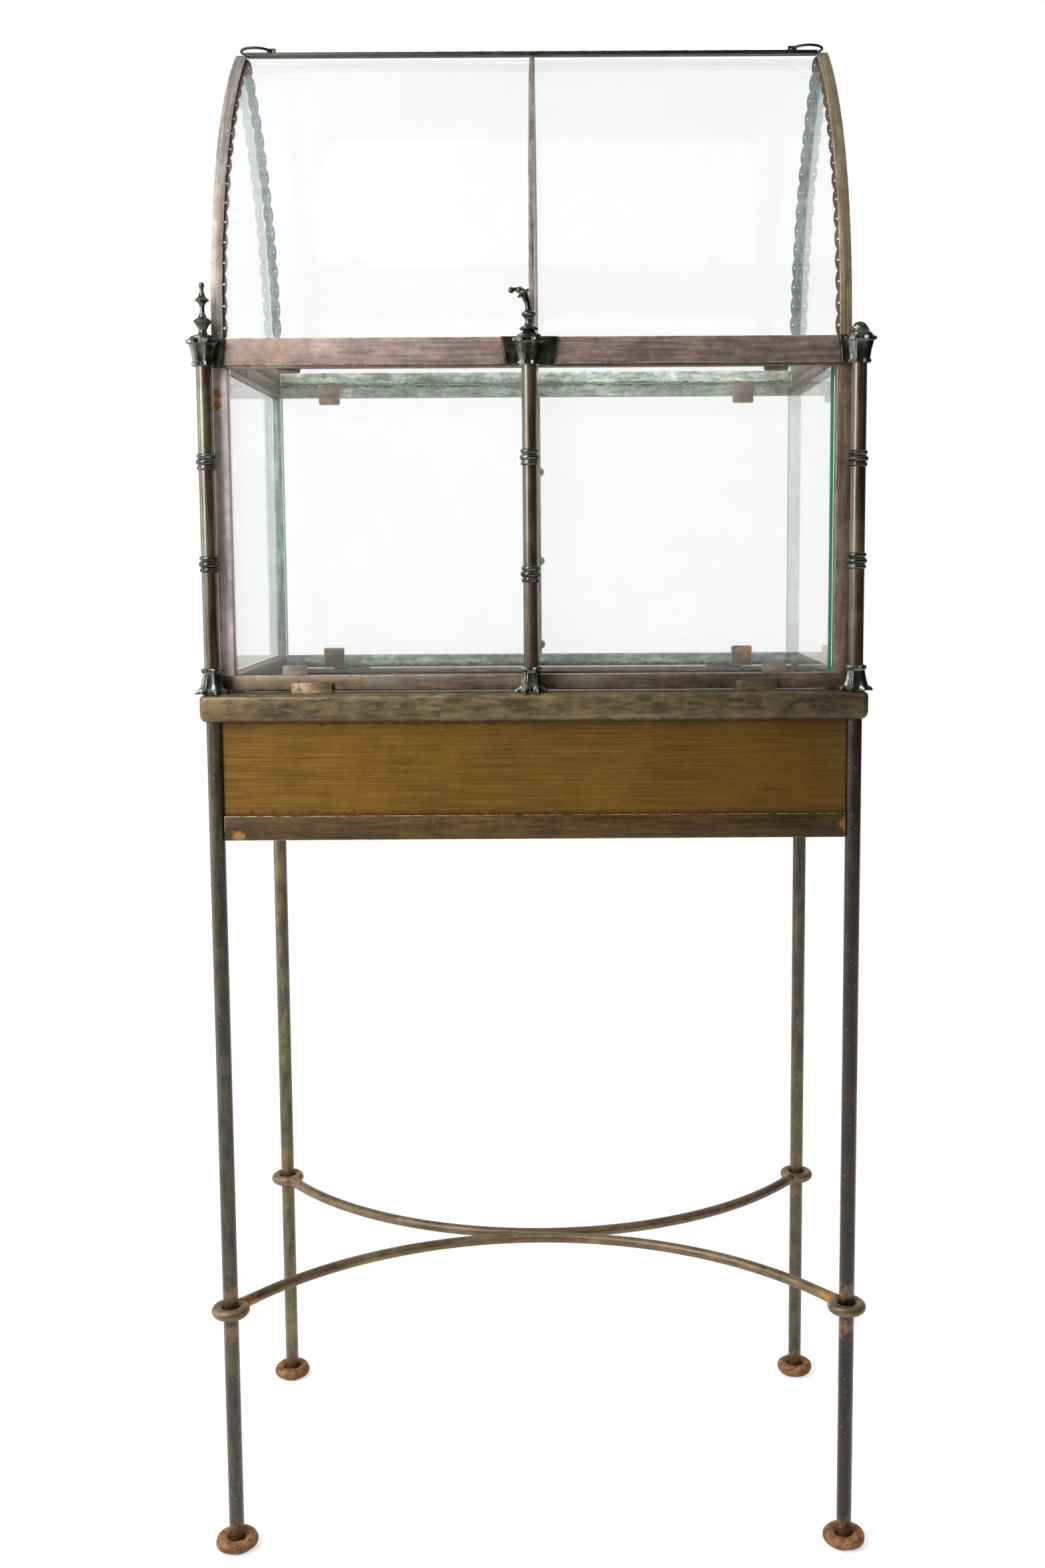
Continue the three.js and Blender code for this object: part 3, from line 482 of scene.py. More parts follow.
for z in cuts:
    bmesh.ops.bisect_plane(top_frame, geom=everything_of(top_frame), plane_co=(0, 0, z),
                           plane_no=(0, 0, 1))
for vert in top_frame.verts:
    out_x = abs(vert.co.x) - (high.x - corner_reach)
    out_y = abs(vert.co.y) - (high.y - corner_reach)
    if out_x < 0 or out_y < 0 or vert.co.z > frame_top + hair:
        continue
    for radius, depth in ((upper_round, vert.co.z - (frame_top - upper_round)),
                          (lower_round, frame_low + lower_round - vert.co.z)):
        if depth > 0:
            inset = radius - math.sqrt(max(0, radius ** 2 - min(depth, radius) ** 2))
            vert.co.x -= math.copysign(inset * out_x / corner_reach, vert.co.x)
            vert.co.y -= math.copysign(inset * out_y / corner_reach, vert.co.y)
top_frame.normal_update()
round_edges(top_frame, rounding=0.0007, turn=50)
fit_piece(top_frame, top_rail_finish, "stand_top_frame")


# Apron: an angle iron frame between the legs carries four bronze brown sheets, brushed along their
# length. The sheets are thin and not quite flat, rust shows along their lower edge, and painted
# shade darkens them under the top rail.
# Painted shade: the lower rail is darkened toward both ends, most at the left.
lower_rail_finish = aged_metal("dark_painted_angle", "#433315", "#5f471b", "#b09a70", "#7d5a34",
                               grain=(40, 9, 3), metallic=0.4, roughness=0.5, spots_from=0.7,
                               rust_and_shade="#9a6a3a", ends=(0.55, 0.7),
                               rusty_places=((-268, -164, 680, 9), (277, -164, 688, 8)))
fit_piece(softened("apron_bottom_frame", rounding=0.0008), lower_rail_finish, "apron_bottom_frame")

# Painted light and shade: the band at 784 mm under the top rail is painted shade, the band at 698
# mm is rust, and the sheets are painted lighter at the left end and darker at the right.
panel_finish = aged_metal("brushed_bronze_sheet", "#6a4a13", "#795917", "#8d6c3a", "#b3924f",
                          grain=(80, 80, 2), metallic=0.5, roughness=0.4, spots_from=0.71,
                          relief=0.1, rust_and_shade_heights=((698, 9), (784, 9)), rust_and_shade="#5c3a10",
                          stain="#7f5a14", stain_from=0.48, cloud=0.12, ends=(1.1, 0.7))
oil_canning = 0.0005
for side in ("front", "rear", "left", "right"):
    cad_name = f"apron_panel_{side}"
    low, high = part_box(cad_name)
    size = high - low
    panel = bmesh.new()
    bmesh.ops.create_cube(panel, size=1, matrix=Matrix.Translation((low + high) / 2)
                          @ Matrix.Diagonal((*size, 1)))
    across = [edge for edge in panel.edges if edge.calc_length() > 2 * min(size)]
    bmesh.ops.subdivide_edges(panel, edges=across, cuts=15, use_grid_fill=True)
    thin = 1 if size.y < size.x else 0
    wide = 1 - thin
    for vert in panel.verts:
        along = (vert.co[wide] - low[wide]) / size[wide]
        up = (vert.co.z - low.z) / size.z
        bow = math.sin(math.pi * up) * math.sin(3 * math.pi * along + 0.8)
        vert.co[thin] -= oil_canning * bow * math.sin(math.pi * along)
    fit_piece(panel, panel_finish, cad_name)


# Liner tray: thin galvanised sheet folded into a box, with its rim turned in. It has dulled to
# a blotchy grey and stands loose inside the apron.
tray_finish = aged_metal("dull_zinc_sheet", "#77797a", "#95989a", "#b3b5b5", "#5f6060",
                         grain=(22, 22, 22), metallic=0.8, roughness=0.5, spots_from=0.7,
                         relief=0.15)
fit_piece(softened("liner_tray", rounding=0.0003), tray_finish, "liner_tray")


# Case frames: half inch bars halved and riveted at their corners, once lacquered a coppery brown.
# They carry small sheet clips that hold the panes, and the edges are painted lighter, for wear and
# as a painted highlight. The rear rails and uprights are painted paler and greener than the front
# ones: painted light.
bar_finish = aged_metal("lacquered_brown_bar", "#5c4e40", "#766353", "#9a8a78", "#8a7f73",
                        grain=(46, 46, 5), metallic=0.5, roughness=0.45, spots_from=0.7,
                        stain="#7f7568", rust_and_shade="#b07a3c",
                        rusty_places=((224, 131, 824, 16), (-218, 131, 1088, 8)))
# Painted light: the rear rails are painted pale green-grey. Painted shade darkens them in narrow
# bands at 1108.7 mm and 812 mm, where they meet the next frame.
rear_rails_painted_light = aged_metal("rear_bar_painted_light", "#808c83", "#bac6b6", "#dce4d8", "#3f463c",
                         grain=(26, 26, 5), metallic=0.25, roughness=0.5, spots_from=0.64,
                         rust_and_shade_heights=((1108.7, 5), (812, 6)), rust_and_shade="#2d322e",
                         stain="#8f9180", stain_from=0.5, cloud=0.5)
# Painted light: the rear uprights are painted pale, the right one much paler than the left.
rear_uprights_painted_light = {side: aged_metal(f"upright_painted_light_{side}", ground, tone, "#d4ded4", spot,
                                  grain=(4, 4, 40), metallic=0.25, roughness=0.5,
                                  spots_from=0.66, cloud=0.3)
                 for side, ground, tone, spot in (("left", "#62736a", "#8a9b8e", "#454d46"),
                                                  ("right", "#b4c2b8", "#d8e4d8", "#8a978c"))}
painted_light_row = 0.13
bar_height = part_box("corner_upright_rear_left")[0].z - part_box("case_base_frame")[0].z


def paint_light_at_the_back(piece, finish, bottom, top):
    """Gives the rear rails and uprights their paler, greener finish: painted light."""
    piece.data.materials.append(finish)
    for face in piece.data.polygons:
        if face.center.y > painted_light_row and bottom <= face.center.z <= top:
            face.material_index = 1


clip_row = 0.12
front_clip_rise = 0.005
clip_reach = 0.006
clip_round = 0.002
for cad_name in ("case_base_frame", "case_top_frame", "roof_base_frame", "centre_upright_front",
                 "centre_upright_rear"):
    bar = copy_of(cad_name)
    low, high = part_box(cad_name)
    if cad_name == "case_top_frame":
        for vert in bar.verts:
            if vert.co.z < low.z + hair and vert.co.y < -clip_row:
                vert.co.z += front_clip_rise
    if cad_name in ("case_top_frame", "case_base_frame"):
        tab_end = low.z if cad_name == "case_top_frame" else high.z
        tab_corners = [edge for edge in bar.edges if edge.calc_length() < clip_round and
                       all(abs(vert.co.z - tab_end) < clip_reach for vert in edge.verts) and
                       abs(edge.verts[0].co.z - edge.verts[1].co.z) < hair]
        bmesh.ops.bevel(bar, geom=tab_corners, offset=clip_round, segments=3, profile=0.5,
                        affect="EDGES", material=-1)
    bar.normal_update()
    round_edges(bar, rounding=0.0005)
    rail_top = low.z + bar_height if cad_name == "case_base_frame" else high.z
    rail_bottom = high.z - bar_height if cad_name == "case_top_frame" else low.z
    back_finish = rear_uprights_painted_light["left"] if "upright" in cad_name else rear_rails_painted_light
    paint_light_at_the_back(fit_piece(bar, bar_finish, cad_name), back_finish, rail_bottom, rail_top)

# Painted light: the left uprights are painted far paler than the right ones, for the light that
# falls on them from the left.
upright_finishes = {
    "left": aged_metal("upright_bar_painted_light", "#c6b6b1", "#e2d3ce", "#d8cec8", "#8d827a",
                       grain=(4, 4, 50), metallic=0.3, roughness=0.5, spots_from=0.7,
                       stain="#b9aca3", rust_and_shade="#b87f34",
                       rusty_places=((-278, -148, 1073, 8), (-279, -148, 1064, 8))),
    "right": aged_metal("lacquered_upright_bar", "#6a594a", "#857262", "#a2938a", "#5c4c40",
                        grain=(4, 4, 50), metallic=0.5, roughness=0.45, spots_from=0.7,
                        stain="#8a786c"),
}
for end, side in corners:
    cad_name = f"corner_upright_{end}_{side}"
    upright = fit_piece(softened(cad_name, rounding=0.0005), upright_finishes[side], cad_name)
    paint_light_at_the_back(upright, rear_uprights_painted_light[side], *[end.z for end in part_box(cad_name)])


# Cover rail: a flat bar that closes the joint between the roof and the case in front. It has
# the pink brown of old copper lacquer, mottled along its length.
cover_finish = aged_metal("mottled_copper_brown", "#675752", "#837267", "#a89c96", "#4c3d38",
                          grain=(40, 40, 3), metallic=0.2, roughness=0.5, spots_from=0.68,
                          stain="#7f6452", stain_from=0.5, cloud=0.32)
fit_piece(softened("front_cover_rail", rounding=0.0006), cover_finish, "front_cover_rail")


# Colonnettes: in front of the case stand three turned shafts of brown lacquered tube. Each has
# two cast ring mouldings, blackened like the bases and capitals that hold it.
def turned(form, outline, axis, steps=36):
    """A turned piece from an outline of radius and height, spun round an upright axis."""
    points = [form.verts.new(axis + Vector((radius, 0, z))) for radius, z in outline]
    lines = [form.edges.new(pair) for pair in zip(points, points[1:])]
    bmesh.ops.spin(form, geom=points + lines, cent=axis, axis=(0, 0, 1), angle=2 * math.pi,
                   steps=steps, use_merge=True)
    bmesh.ops.remove_doubles(form, verts=form.verts, dist=0.00001)


def bead(radius, bulge, bottom, top, steps=6):
    """The outline of one rounded bead round a shaft, from its bottom to its top."""
    return [(radius + bulge * math.sin(math.pi * step / steps) ** 0.7,
             bottom + (top - bottom) * step / steps) for step in range(steps + 1)]


black_casting = aged_metal("blackened_cast_metal", "#363732", "#5e6058", "#c6cbbc", "#8b8f82",
                           grain=(9, 9, 12), metallic=0.9, roughness=0.2, spots_from=0.67,
                           relief=0.3, cloud=0.4)
shaft_finish = aged_metal("lacquered_copper_tube", "#33241a", "#514129", "#a39c88", "#a5957c",
                          grain=(3, 3, 60), metallic=0.4, roughness=0.3, spots_from=0.7,
                          relief=0.12, stain="#5a573c", stain_from=0.5, lacquer=0.75)
tube_radius = 0.0069
moulding_height = 0.0144
bead_foot = 0.0004
beads = ((0, 0.26, 0.62), (0.3, 0.68, 1), (0.72, 1, 0.66))
posts = {}
for side in ("left", "centre", "right"):
    cad_name = f"colonnette_shaft_{side}"
    low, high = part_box(cad_name)
    axis = Vector(((low.x + high.x) / 2, (low.y + high.y) / 2, 0))
    posts[side] = axis
    bulge = (high.x - low.x) / 2 - tube_radius
    wide = [v.co.z for v in nodes[cad_name].data.vertices
            if (Vector((v.co.x, v.co.y, 0)) - axis).length > tube_radius + 0.8 * bulge]
    middle_height = (low.z + high.z) / 2
    outline = [(0, low.z), (tube_radius, low.z)]
    for ring in ([z for z in wide if z < middle_height], [z for z in wide if z > middle_height]):
        bottom = (min(ring) + max(ring)) / 2 - moulding_height / 2
        outline.append((tube_radius, bottom - hair))
        for start, stop, share in beads:
            outline += bead(tube_radius + bead_foot, bulge * share - bead_foot,
                            bottom + start * moulding_height, bottom + stop * moulding_height)
        outline.append((tube_radius, bottom + moulding_height + hair))
    outline += [(tube_radius, high.z), (0, high.z)]
    shaft = bmesh.new()
    turned(shaft, outline, axis)
    turn_outwards(shaft)
    for face in shaft.faces:
        reach = max((Vector((v.co.x, v.co.y, 0)) - axis).length for v in face.verts)
        face.material_index = 1 if reach > tube_radius + bead_foot / 2 else 0
    fit_piece(shaft, shaft_finish, cad_name, sharp=50).data.materials.append(black_casting)


# Colonnette castings: eight sided with slightly hollow sides, and blackened. Their arrises are
# painted pale grey, for metal rubbed bare by handling and as a painted highlight. The foot and the
# capital's lip spread into lobes under them.
def eight_sided(form, axis, rings, segments=64):
    """A casting built up ring by ring.

    Each ring gives its reach at the arrises, its height, how far it is eight sided rather
    than round, and how far a lobe stands out under each arris."""
    circle = bmesh.ops.create_circle(form, cap_ends=True, segments=segments, radius=1,
                                     matrix=Matrix.Translation(axis))
    verts = circle["verts"]
    edges = edges_at(verts)
    eighth = math.pi / 4
    for count, (reach, z, facet, lobe) in enumerate(rings):
        if count:
            grown = bmesh.ops.extrude_edge_only(form, edges=edges)["geom"]
            verts = verts_among(grown)
            edges = [part for part in grown if isinstance(part, bmesh.types.BMEdge)
                     and all(vert in verts for vert in part.verts)]
        for vert in verts:
            turn = math.atan2(vert.co.y - axis.y, vert.co.x - axis.x)
            off_flat = (turn + eighth / 2) % eighth - eighth / 2
            flat = math.cos(eighth / 2) / math.cos(off_flat)
            arris = max(0, math.cos(8 * turn - math.pi)) ** 2
            radius = reach * (1 + facet * (flat - 1)) + lobe * (arris - 1)
            vert.co = axis + Vector((radius * math.cos(turn), radius * math.sin(turn), z))
    close_holes(form)


def flat_back(form, y):
    """Cuts a casting off flat where it stands against the case."""
    bmesh.ops.bisect_plane(form, geom=everything_of(form), plane_co=(0, y, 0),
                           plane_no=(0, 1, 0), clear_outer=True)
    close_holes(form)


# Each row of shares is a ring: its part of the reach and of the height, its facet and its lobe.
hollow = 1.5
arris_round = 0.00035
base_reach = 0.0158
base_shares = ((1, 0, 0.2, 0.0046), (1, 0.06, 0.2, 0.0046), (0.96, 0.12, 0.3, 0.004),
               (0.8, 0.19, 0.8, 0.0016), (0.7, 0.26, hollow, 0), (0.63, 0.44, hollow, 0),
               (0.57, 0.64, hollow, 0), (0.53, 0.79, hollow, 0), (0.58, 0.83, 0.8, 0.0006),
               (0.63, 0.87, 0.4, 0.0015), (0.64, 0.95, 0.4, 0.0015), (0.56, 1, 0.6, 0.0006),
               (0.45, 0.95, 0.2, 0))
for side, axis in posts.items():
    low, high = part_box(f"colonnette_base_{side}")
    height = high.z - low.z
    base = bmesh.new()
    eight_sided(base, axis, [(base_reach * out, low.z + up * height, facet, lobe)
                             for out, up, facet, lobe in base_shares])
    flat_back(base, high.y)
    turn_outwards(base)
    round_edges(base, arris_round, turn=28)
    fit_piece(base, black_casting, f"colonnette_base_{side}", sharp=28)

cup_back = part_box("front_cover_rail")[0].y - touching_gap
slack = 0.0004
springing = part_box("roof_base_frame")[1].z
crowns = {"left": (0.0046, 0.0036), "centre": (0.0062, 0.005), "right": (0.0086, 0.0082)}
plate_thickness = 0.0024
plate_rim = 0.001
plate_slope = 0.0006
plate_sink = 0.0009
capital_reach = 0.0155
capital_shares = ((0.6, 0, 0.4, 0.0006), (0.68, 0.03, 0.4, 0.0018), (0.69, 0.1, 0.4, 0.0018),
                  (0.62, 0.14, 0.8, 0.0005), (0.61, 0.18, hollow, 0), (0.68, 0.42, hollow, 0),
                  (0.77, 0.64, hollow, 0), (0.82, 0.74, hollow, 0.0003),
                  (0.95, 0.78, 0.4, 0.0024), (1, 0.82, 0.3, 0.0034), (0.98, 0.88, 0.3, 0.0034),
                  (0.84, 0.92, 0.6, 0.0012), (0.74, 0.95, 0.6, 0), (0.73, 1, 0.6, 0))
lip_rise = 0.0008
crown_rise = 0.0024
for side, axis in posts.items():
    cad_name = f"capital_{side}"
    low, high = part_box(cad_name)
    height = springing - low.z
    capital = bmesh.new()
    eight_sided(capital, axis, [
        *[(capital_reach * out, low.z + up * height, facet, lobe)
          for out, up, facet, lobe in capital_shares],
        (capital_reach * 0.66, springing + lip_rise, 0.4, 0),
        (crowns[side][0], springing + crown_rise, 0, 0),
        (crowns[side][1], high.z, 0, 0),
    ])
    flat_back(capital, cup_back)
    turn_outwards(capital)
    round_edges(capital, arris_round, turn=28)
    plate = [v.co for v in nodes[cad_name].data.vertices if v.co.y > cup_back - slack]
    corner_points = []
    for z in (low.z, springing):
        row = [p.x for p in plate if abs(p.z - z) < slack]
        corner_points += [(min(row), z), (max(row), z)]
    plate_front = cup_back - plate_thickness
    ring = [capital.verts.new((x, plate_front, z))
            for x, z in (corner_points[0], corner_points[1], corner_points[3], corner_points[2])]
    front = capital.faces.new(ring)
    grown = bmesh.ops.extrude_face_region(capital, geom=[front], use_keep_orig=True)["geom"]
    bmesh.ops.translate(capital, verts=verts_among(grown), vec=(0, cup_back - plate_front, 0))
    bmesh.ops.inset_region(capital, faces=[front], thickness=plate_rim, depth=0)
    # The sloped rim of the plate is painted pale like the arrises: wear, and a painted highlight.
    edge_wear_and_highlight = capital.faces.layers.float.get("edge_wear_and_highlight")
    slope = bmesh.ops.inset_region(capital, faces=[front], thickness=plate_slope,
                                   depth=-plate_sink)
    for face in slope["faces"]:
        face[edge_wear_and_highlight] = 1
    turn_outwards(capital)
    fit_piece(capital, black_casting, cad_name, sharp=28)


# Finials: the left one is whole, the middle one was knocked over long ago, and of the right one
# only its domed nut is left. They are small castings of the same blackened metal.
def flowing(points, steps=4):
    """A smooth line through points of radius and height."""
    padded = [points[0], *points, points[-1]]
    line = []
    for before, start, stop, after in zip(padded, padded[1:], padded[2:], padded[3:]):
        for step in range(steps):
            t = step / steps
            line.append(tuple(
                0.5 * (2 * b + (c - a) * t + (2 * a - 5 * b + 4 * c - d) * t ** 2
                       + (3 * b - a - 3 * c + d) * t ** 3)
                for a, b, c, d in zip(before, start, stop, after)))
    return [*line, points[-1]]


finial_half = 0.008
finial_height = 0.045
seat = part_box("capital_left")[1].z
whole_shares = ((0.46, 0), (0.42, 0.03), (0.52, 0.08), (0.72, 0.14), (0.94, 0.19), (0.98, 0.213),
                (0.82, 0.24), (0.48, 0.285), (0.42, 0.31), (0.28, 0.37), (0.25, 0.43),
                (0.28, 0.5), (0.44, 0.56), (0.72, 0.595), (0.77, 0.613), (0.62, 0.64),
                (0.4, 0.68), (0.28, 0.74), (0.2, 0.79), (0.21, 0.83), (0.29, 0.87), (0.3, 0.9),
                (0.2, 0.94))
whole = bmesh.new()
outline = flowing([(r * finial_half, seat + h * finial_height) for r, h in whole_shares])
tip_rise = 0.0003
turned(whole, [(0, seat), *outline, (0, outline[-1][1] + tip_rise)], posts["left"], steps=28)
turn_outwards(whole)
fit_piece(whole, black_casting, "finial_left", sharp=60)

stem_shares = ((0.62, 0), (0.95, 0.01), (1.04, 0.034), (0.95, 0.06), (0.62, 0.085), (0.46, 0.13),
               (0.42, 0.18), (0.5, 0.235), (0.74, 0.28), (0.82, 0.312), (0.74, 0.342),
               (0.46, 0.375), (0.38, 0.42))
bent = bmesh.new()
outline = flowing([(r * finial_half, seat + h * finial_height) for r, h in stem_shares])
turned(bent, [(0, seat), *outline, (0, outline[-1][1])], posts["centre"], steps=28)
bend_shares = ((0, 0.38), (-0.02, 0.5), (-0.05, 0.6), (-0.1, 0.71), (-0.18, 0.775),
               (-0.27, 0.785), (-0.335, 0.77))
neck_shares = (0.38, 0.32, 0.36, 0.42, 0.32, 0.2, 0.2)
path = flowing([(dx * finial_height, seat + h * finial_height) for dx, h in bend_shares])
girth = flowing([(share * finial_half, 0) for share in neck_shares])
loop = None
for count, ((x, z), (radius, _)) in enumerate(zip(path, girth)):
    ahead = path[min(count + 1, len(path) - 1)]
    behind = path[max(count - 1, 0)]
    lean = math.atan2(ahead[0] - behind[0], ahead[1] - behind[1])
    place = Matrix.Translation(posts["centre"] + Vector((x, 0, z))) @ Matrix.Rotation(lean, 4, "Y")
    circle = bmesh.ops.create_circle(bent, cap_ends=count in (0, len(path) - 1), segments=16,
                                     radius=radius, matrix=place)["verts"]
    edges = edges_at(circle)
    if loop:
        bmesh.ops.bridge_loops(bent, edges=loop + edges)
    loop = edges
tilt = math.radians(-35)
for step, radius_share, thickness_share in ((12, 0.82, 0.22), (12, 0.5, 0.5), (16, 0.4, 0.34)):
    centre = posts["centre"] + Vector((path[step][0], 0, path[step][1]))
    bmesh.ops.create_uvsphere(
        bent, u_segments=24, v_segments=10, radius=finial_half,
        matrix=Matrix.Translation(centre) @ Matrix.Rotation(tilt, 4, "Y")
        @ Matrix.Diagonal((radius_share, radius_share, thickness_share, 1)))
bmesh.ops.create_uvsphere(
    bent, u_segments=16, v_segments=10, radius=0.34 * finial_half,
    matrix=Matrix.Translation(posts["centre"] + Vector((path[-1][0], 0, path[-1][1]))))
turn_outwards(bent)
fit_piece(bent, black_casting, "finial_centre", sharp=50)

nut_low, nut_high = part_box("finial_nut_right")
nut = bmesh.new()
nut_height = nut_high.z - nut_low.z
nut_reach, nut_top_reach = 0.0079, 0.0074
hexagon_middle = (*posts["right"].xy, nut_low.z + 0.17 * nut_height)
bmesh.ops.create_cone(nut, cap_ends=True, segments=6, radius1=nut_reach,
                      radius2=nut_top_reach, depth=0.34 * nut_height,
                      matrix=Matrix.Translation(hexagon_middle))
bmesh.ops.bevel(nut, geom=list(nut.edges), offset=0.0007, segments=2, profile=0.5,
                affect="EDGES", material=-1)
dome_shares = ((0.8, 0.2), (0.78, 0.4), (0.68, 0.62), (0.45, 0.82), (0.2, 0.93))
turned(nut, [(0, nut_low.z), *[(r * finial_half, nut_low.z + h * nut_height)
                               for r, h in dome_shares], (0, nut_low.z + 0.97 * nut_height)],
       posts["right"], steps=24)
turn_outwards(nut)
fit_piece(nut, black_casting, "finial_nut_right", sharp=40)


# End arches: flat bar bent to a pointed arch, grey brown and grooved along its length. The
# glazing bars in the middle of the roof are narrower strips of the same brown.
arch_finishes = {side: aged_metal(f"grooved_arch_bar_{side}", ground, tone, "#b4aaa2", "#4a423b",
                                  grain=(1.8, 60, 60), metallic=0.4, roughness=0.5,
                                  spots_from=0.68, relief=0.3)
                 for side, ground, tone in (("left", "#71685f", "#968d85"),
                                            ("right", "#6e614c", "#938366"))}
roof_bar_finish = aged_metal("dark_brown_glazing_bar", "#6c635a", "#968f84", "#aaa08f", "#3f352c",
                             grain=(2, 50, 50), metallic=0.4, roughness=0.5, spots_from=0.7)
# Painted light: the rear half of each arch is painted pale green-grey, paler than its front half.
rear_arch_painted_light = aged_metal("arch_bar_painted_light", "#a9b8ad", "#d6e2d6", "#e6ede5", "#75817a",
                              grain=(2, 30, 30), metallic=0.1, roughness=0.55, spots_from=0.62,
                              cloud=0.4)
painted_light_from = 0.012


def paint_light_on_rear_half(piece, finish):
    """Gives the rear half of an arch or a trim its paler, greener finish: painted light."""
    piece.data.materials.append(finish)
    for face in piece.data.polygons:
        if face.center.y > painted_light_from:
            face.material_index = 1


for side in ("left", "right"):
    arch = softened(f"end_arch_{side}", rounding=0.0005)
    paint_light_on_rear_half(fit_piece(arch, arch_finishes[side], f"end_arch_{side}"), rear_arch_painted_light)
for end in ("front", "rear"):
    fit_piece(softened(f"roof_bar_{end}", rounding=0.0004), roof_bar_finish, f"roof_bar_{end}")


# Pierced trims: thin strip with both edges cut in scallops and a hole in every lobe, pinned
# under the end arches so that the panes lie against it.
trim_finish = aged_metal("pierced_brown_strip", "#5c4d43", "#76665a", "#9a8c7e", "#8f8374",
                         grain=(3, 30, 30), metallic=0.4, roughness=0.5, spots_from=0.68)
# Painted light: the rear half of each trim is painted paler and greener than its front half.
rear_trim_painted_light = aged_metal("pierced_strip_painted_light", "#6f7e76", "#9aa9a0", "#d4ded6", "#525c56",
                              grain=(3, 20, 20), metallic=0.2, roughness=0.5, spots_from=0.62,
                              cloud=0.4)
arch_low, arch_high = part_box("end_arch_left")
arch_foot = -arch_low.y
arch_rise = arch_high.z - springing
arc_centre = (arch_rise ** 2 - arch_foot ** 2) / (2 * arch_foot)
pane_thickness = 0.003
strip_outer = arch_foot + arc_centre - pane_thickness - touching_gap
strip_thickness = 0.0008
scallop_pitch = 0.0195
strip_turn = math.acos(arc_centre / strip_outer)
strip_length = strip_outer * strip_turn
scallops = round(strip_length / scallop_pitch)
pitch = strip_length / scallops
scallop_depth = 0.0022
hole_radius = 0.00105
hole_inset = 0.0029
steps = 8
for side in ("left", "right"):
    cad_name = f"scalloped_trim_{side}"
    low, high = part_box(cad_name)
    strip_width = high.x - low.x
    strip = bmesh.new()
    rim_points = []
    for step in range(2 * scallops * steps + 1):
        wave = abs(math.sin(math.pi * step / steps)) ** 0.7
        rim_points.append((pitch * step / steps, scallop_depth * (1 - wave)))
    ring = [strip.verts.new((strip_width - valley, along, 0)) for along, valley in rim_points]
    ring += [strip.verts.new((valley, along, 0)) for along, valley in reversed(rim_points)]
    edges = [strip.edges.new(pair) for pair in zip(ring, ring[1:] + ring[:1])]
    for scallop in range(2 * scallops):
        for x in (hole_inset, strip_width - hole_inset):
            hole = bmesh.ops.create_circle(
                strip, segments=10, radius=hole_radius,
                matrix=Matrix.Translation((x, pitch * (scallop + 0.5), 0)))
            edges += edges_at(hole["verts"])
    bmesh.ops.triangle_fill(strip, use_beauty=True, use_dissolve=False, edges=edges,
                            normal=(0, 0, 1))
    fine = [edge for edge in strip.edges if edge.calc_length() > pitch]
    bmesh.ops.subdivide_edges(strip, edges=fine, cuts=1)
    bmesh.ops.triangulate(strip, faces=strip.faces)
    plate = bmesh.ops.extrude_face_region(strip, geom=list(strip.faces), use_keep_orig=True)
    bmesh.ops.translate(strip, verts=verts_among(plate["geom"]), vec=(0, 0, strip_thickness))
    for vert in strip.verts:
        across, along, depth = vert.co
        climb = along if along <= strip_length else 2 * strip_length - along
        way = -1 if along <= strip_length else 1
        turn = climb / strip_outer
        radius = strip_outer - depth
        y = max(radius * math.cos(turn) - arc_centre, 0)
        vert.co = (low.x + across, way * y, springing + radius * math.sin(turn))
    turn_outwards(strip)
    paint_light_on_rear_half(fit_piece(strip, trim_finish, cad_name, sharp=30), rear_trim_painted_light)


# Ridge: a dark iron bar with a low scalloped crest between two knuckles, in which loose wire
# rings hang. The whole roof is lifted by the rings.
ridge_finish = aged_metal("dark_iron_ridge", "#17180f", "#2b2c20", "#6c6a58", "#55543f",
                          grain=(22, 6, 6), metallic=0.4, roughness=0.45, spots_from=0.7)
fit_piece(softened("ridge_bar", rounding=0.0003, turn=50), ridge_finish, "ridge_bar")
for side, phase in (("left", -0.9), ("right", 0.9)):
    cad_name = f"ring_handle_{side}"
    low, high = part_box(cad_name)
    wire = (high.z - low.z) / 2
    ring = bmesh.new()
    forged_ring(ring, (low + high) / 2, (high.x - low.x) / 2 - wire, wire, phase, squeeze=0.02)
    turn_outwards(ring)
    fit_piece(ring, ridge_finish, cad_name, sharp=60)


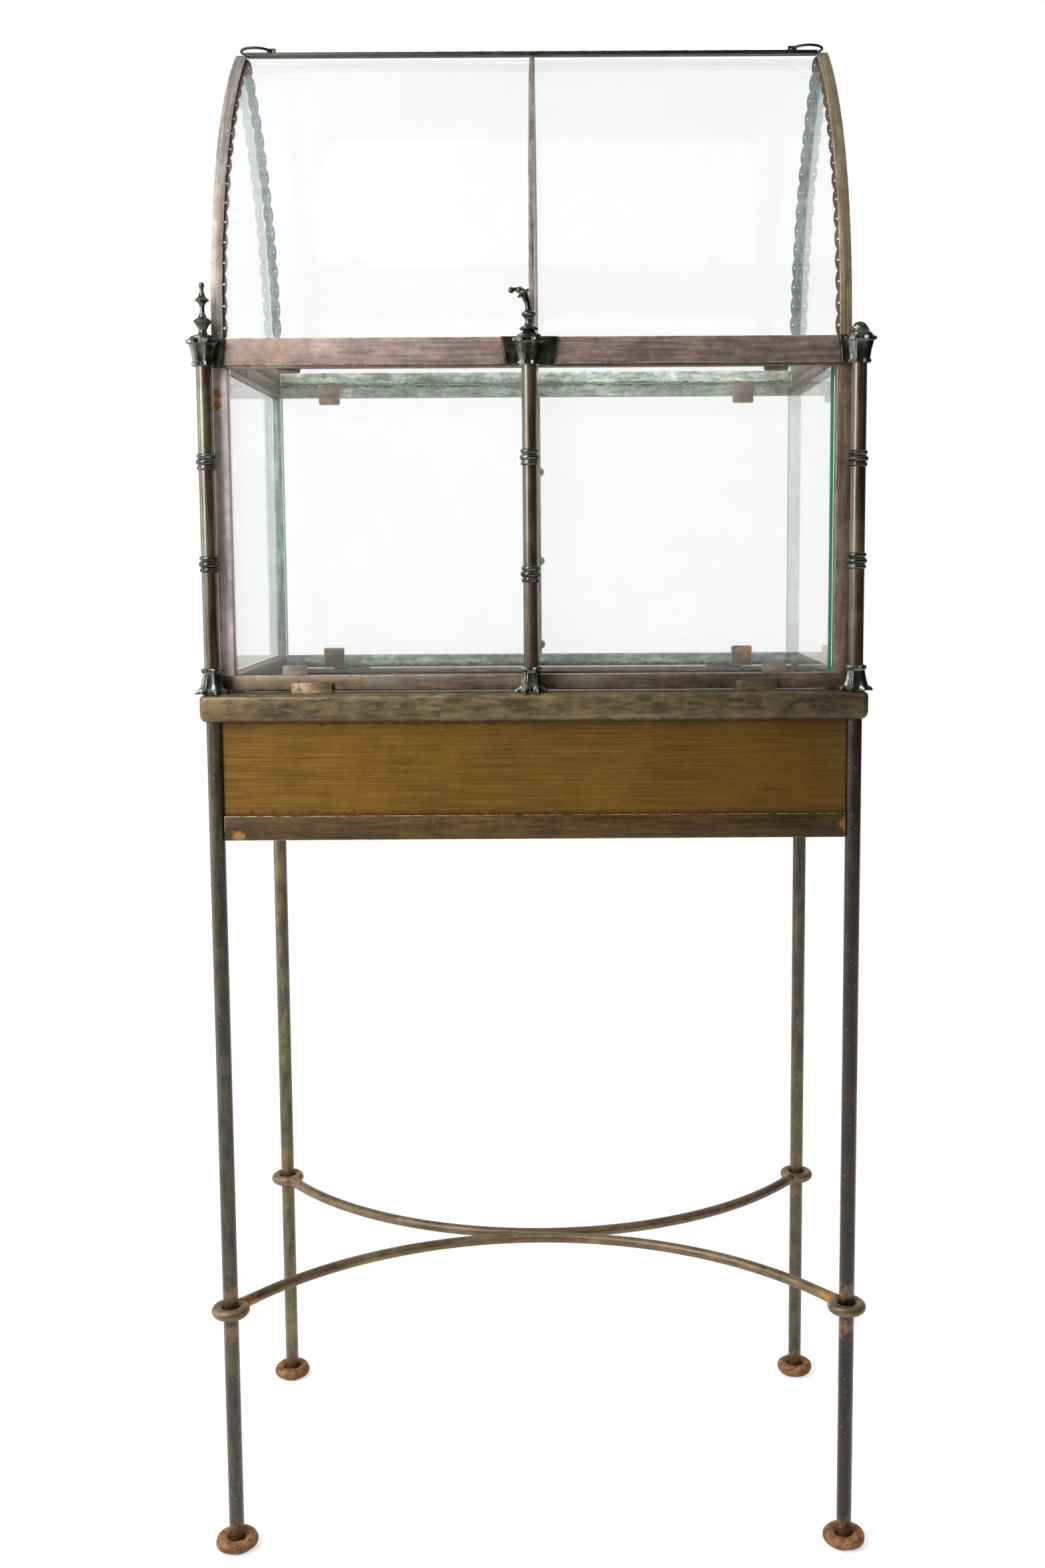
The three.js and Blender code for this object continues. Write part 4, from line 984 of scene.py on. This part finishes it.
# Window glass: old drawn sheet, clear with a faint green cast and a thin film of dust. Its cut
# edges are bottle green, because there one looks along the sheet; on the left panes they are
# painted pale as painted light, and on the rear right pane dark as painted shade. The bent roof
# panes hardly turn the light, so that no dark line shows where two of them meet under the ridge.
def dusty_glass(name, film, ior=1.3, gloss=0):
    """Clear sheet. film is how much of each face the dust covers, as a least and a most. gloss
    is a clear coat, for a sheet whose low ior leaves it without shine."""
    patch_size = 150
    glass, tree, shader = new_material(name, Base_Color=linear("#ffffff"), Roughness=0.02,
                                       IOR=ior, Coat_Weight=gloss)
    place = node(tree, "ShaderNodeTexCoord").outputs["Object"]
    patches = node(tree, "ShaderNodeTexNoise", Vector=place, Scale=1000 / patch_size, Detail=3,
                   Roughness=0.55)
    clear = node(tree, "ShaderNodeMapRange", smooth, i0=patches.outputs["Fac"], i1=0.35, i2=0.65,
                 i3=1 - film[0], i4=1 - film[1])
    tree.links.new(clear.outputs[0], shader.inputs["Transmission Weight"])
    absorb = node(tree, "ShaderNodeVolumeAbsorption", Color=linear("#6fc0a0"), Density=6.0)
    tree.links.new(absorb.outputs[0], tree.nodes["Material Output"].inputs["Volume"])
    return glass


def cut_edge(name, colour):
    """The ground edge of a sheet, where the green of the glass gathers."""
    chip_size = 6
    edge, tree, shader = new_material(name, Base_Color=linear(colour), Roughness=0.35, IOR=1.45)
    place = node(tree, "ShaderNodeTexCoord").outputs["Object"]
    chips = node(tree, "ShaderNodeTexNoise", Vector=place, Scale=1000 / chip_size, Detail=3)
    clear = node(tree, "ShaderNodeMapRange", i0=chips.outputs["Fac"], i1=0.3, i2=0.7,
                 i3=0.15, i4=0.5)
    tree.links.new(clear.outputs[0], shader.inputs["Transmission Weight"])
    return edge


glass_finish = dusty_glass("dusty_window_glass", (0.012, 0.035))
bent_glass_finish = dusty_glass("bent_window_glass", (0.012, 0.035), ior=1.03, gloss=0.6)
green_edge = cut_edge("ground_glass_edge", "#2f9a78")
# Painted light and shade on cut edges: a pale edge for the left panes, a dark one for the rear
# right pane.
painted_lit_edge = cut_edge("lit_glass_edge", "#d3e2dc")
painted_shade_edge = cut_edge("shaded_glass_edge", "#274a44")
arris = 0.0002
pane_names = [name for name in nodes if name.startswith(("pane_", "roof_pane_", "gable_pane_"))]
for cad_name in sorted(pane_names):
    low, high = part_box(cad_name)
    pane = softened(cad_name, arris, segments=1)
    bent = cad_name.startswith("roof_pane_")
    thin = min(range(3), key=lambda i: high[i] - low[i])
    for face in pane.faces:
        face.material_index = 0 if bent or abs(face.normal[thin]) > 0.5 else 1
    piece = fit_piece(pane, bent_glass_finish if bent else glass_finish, cad_name)
    rim = painted_shade_edge if cad_name == "pane_rear_right" else green_edge
    piece.data.materials.append(painted_lit_edge if cad_name.endswith("_left") else rim)
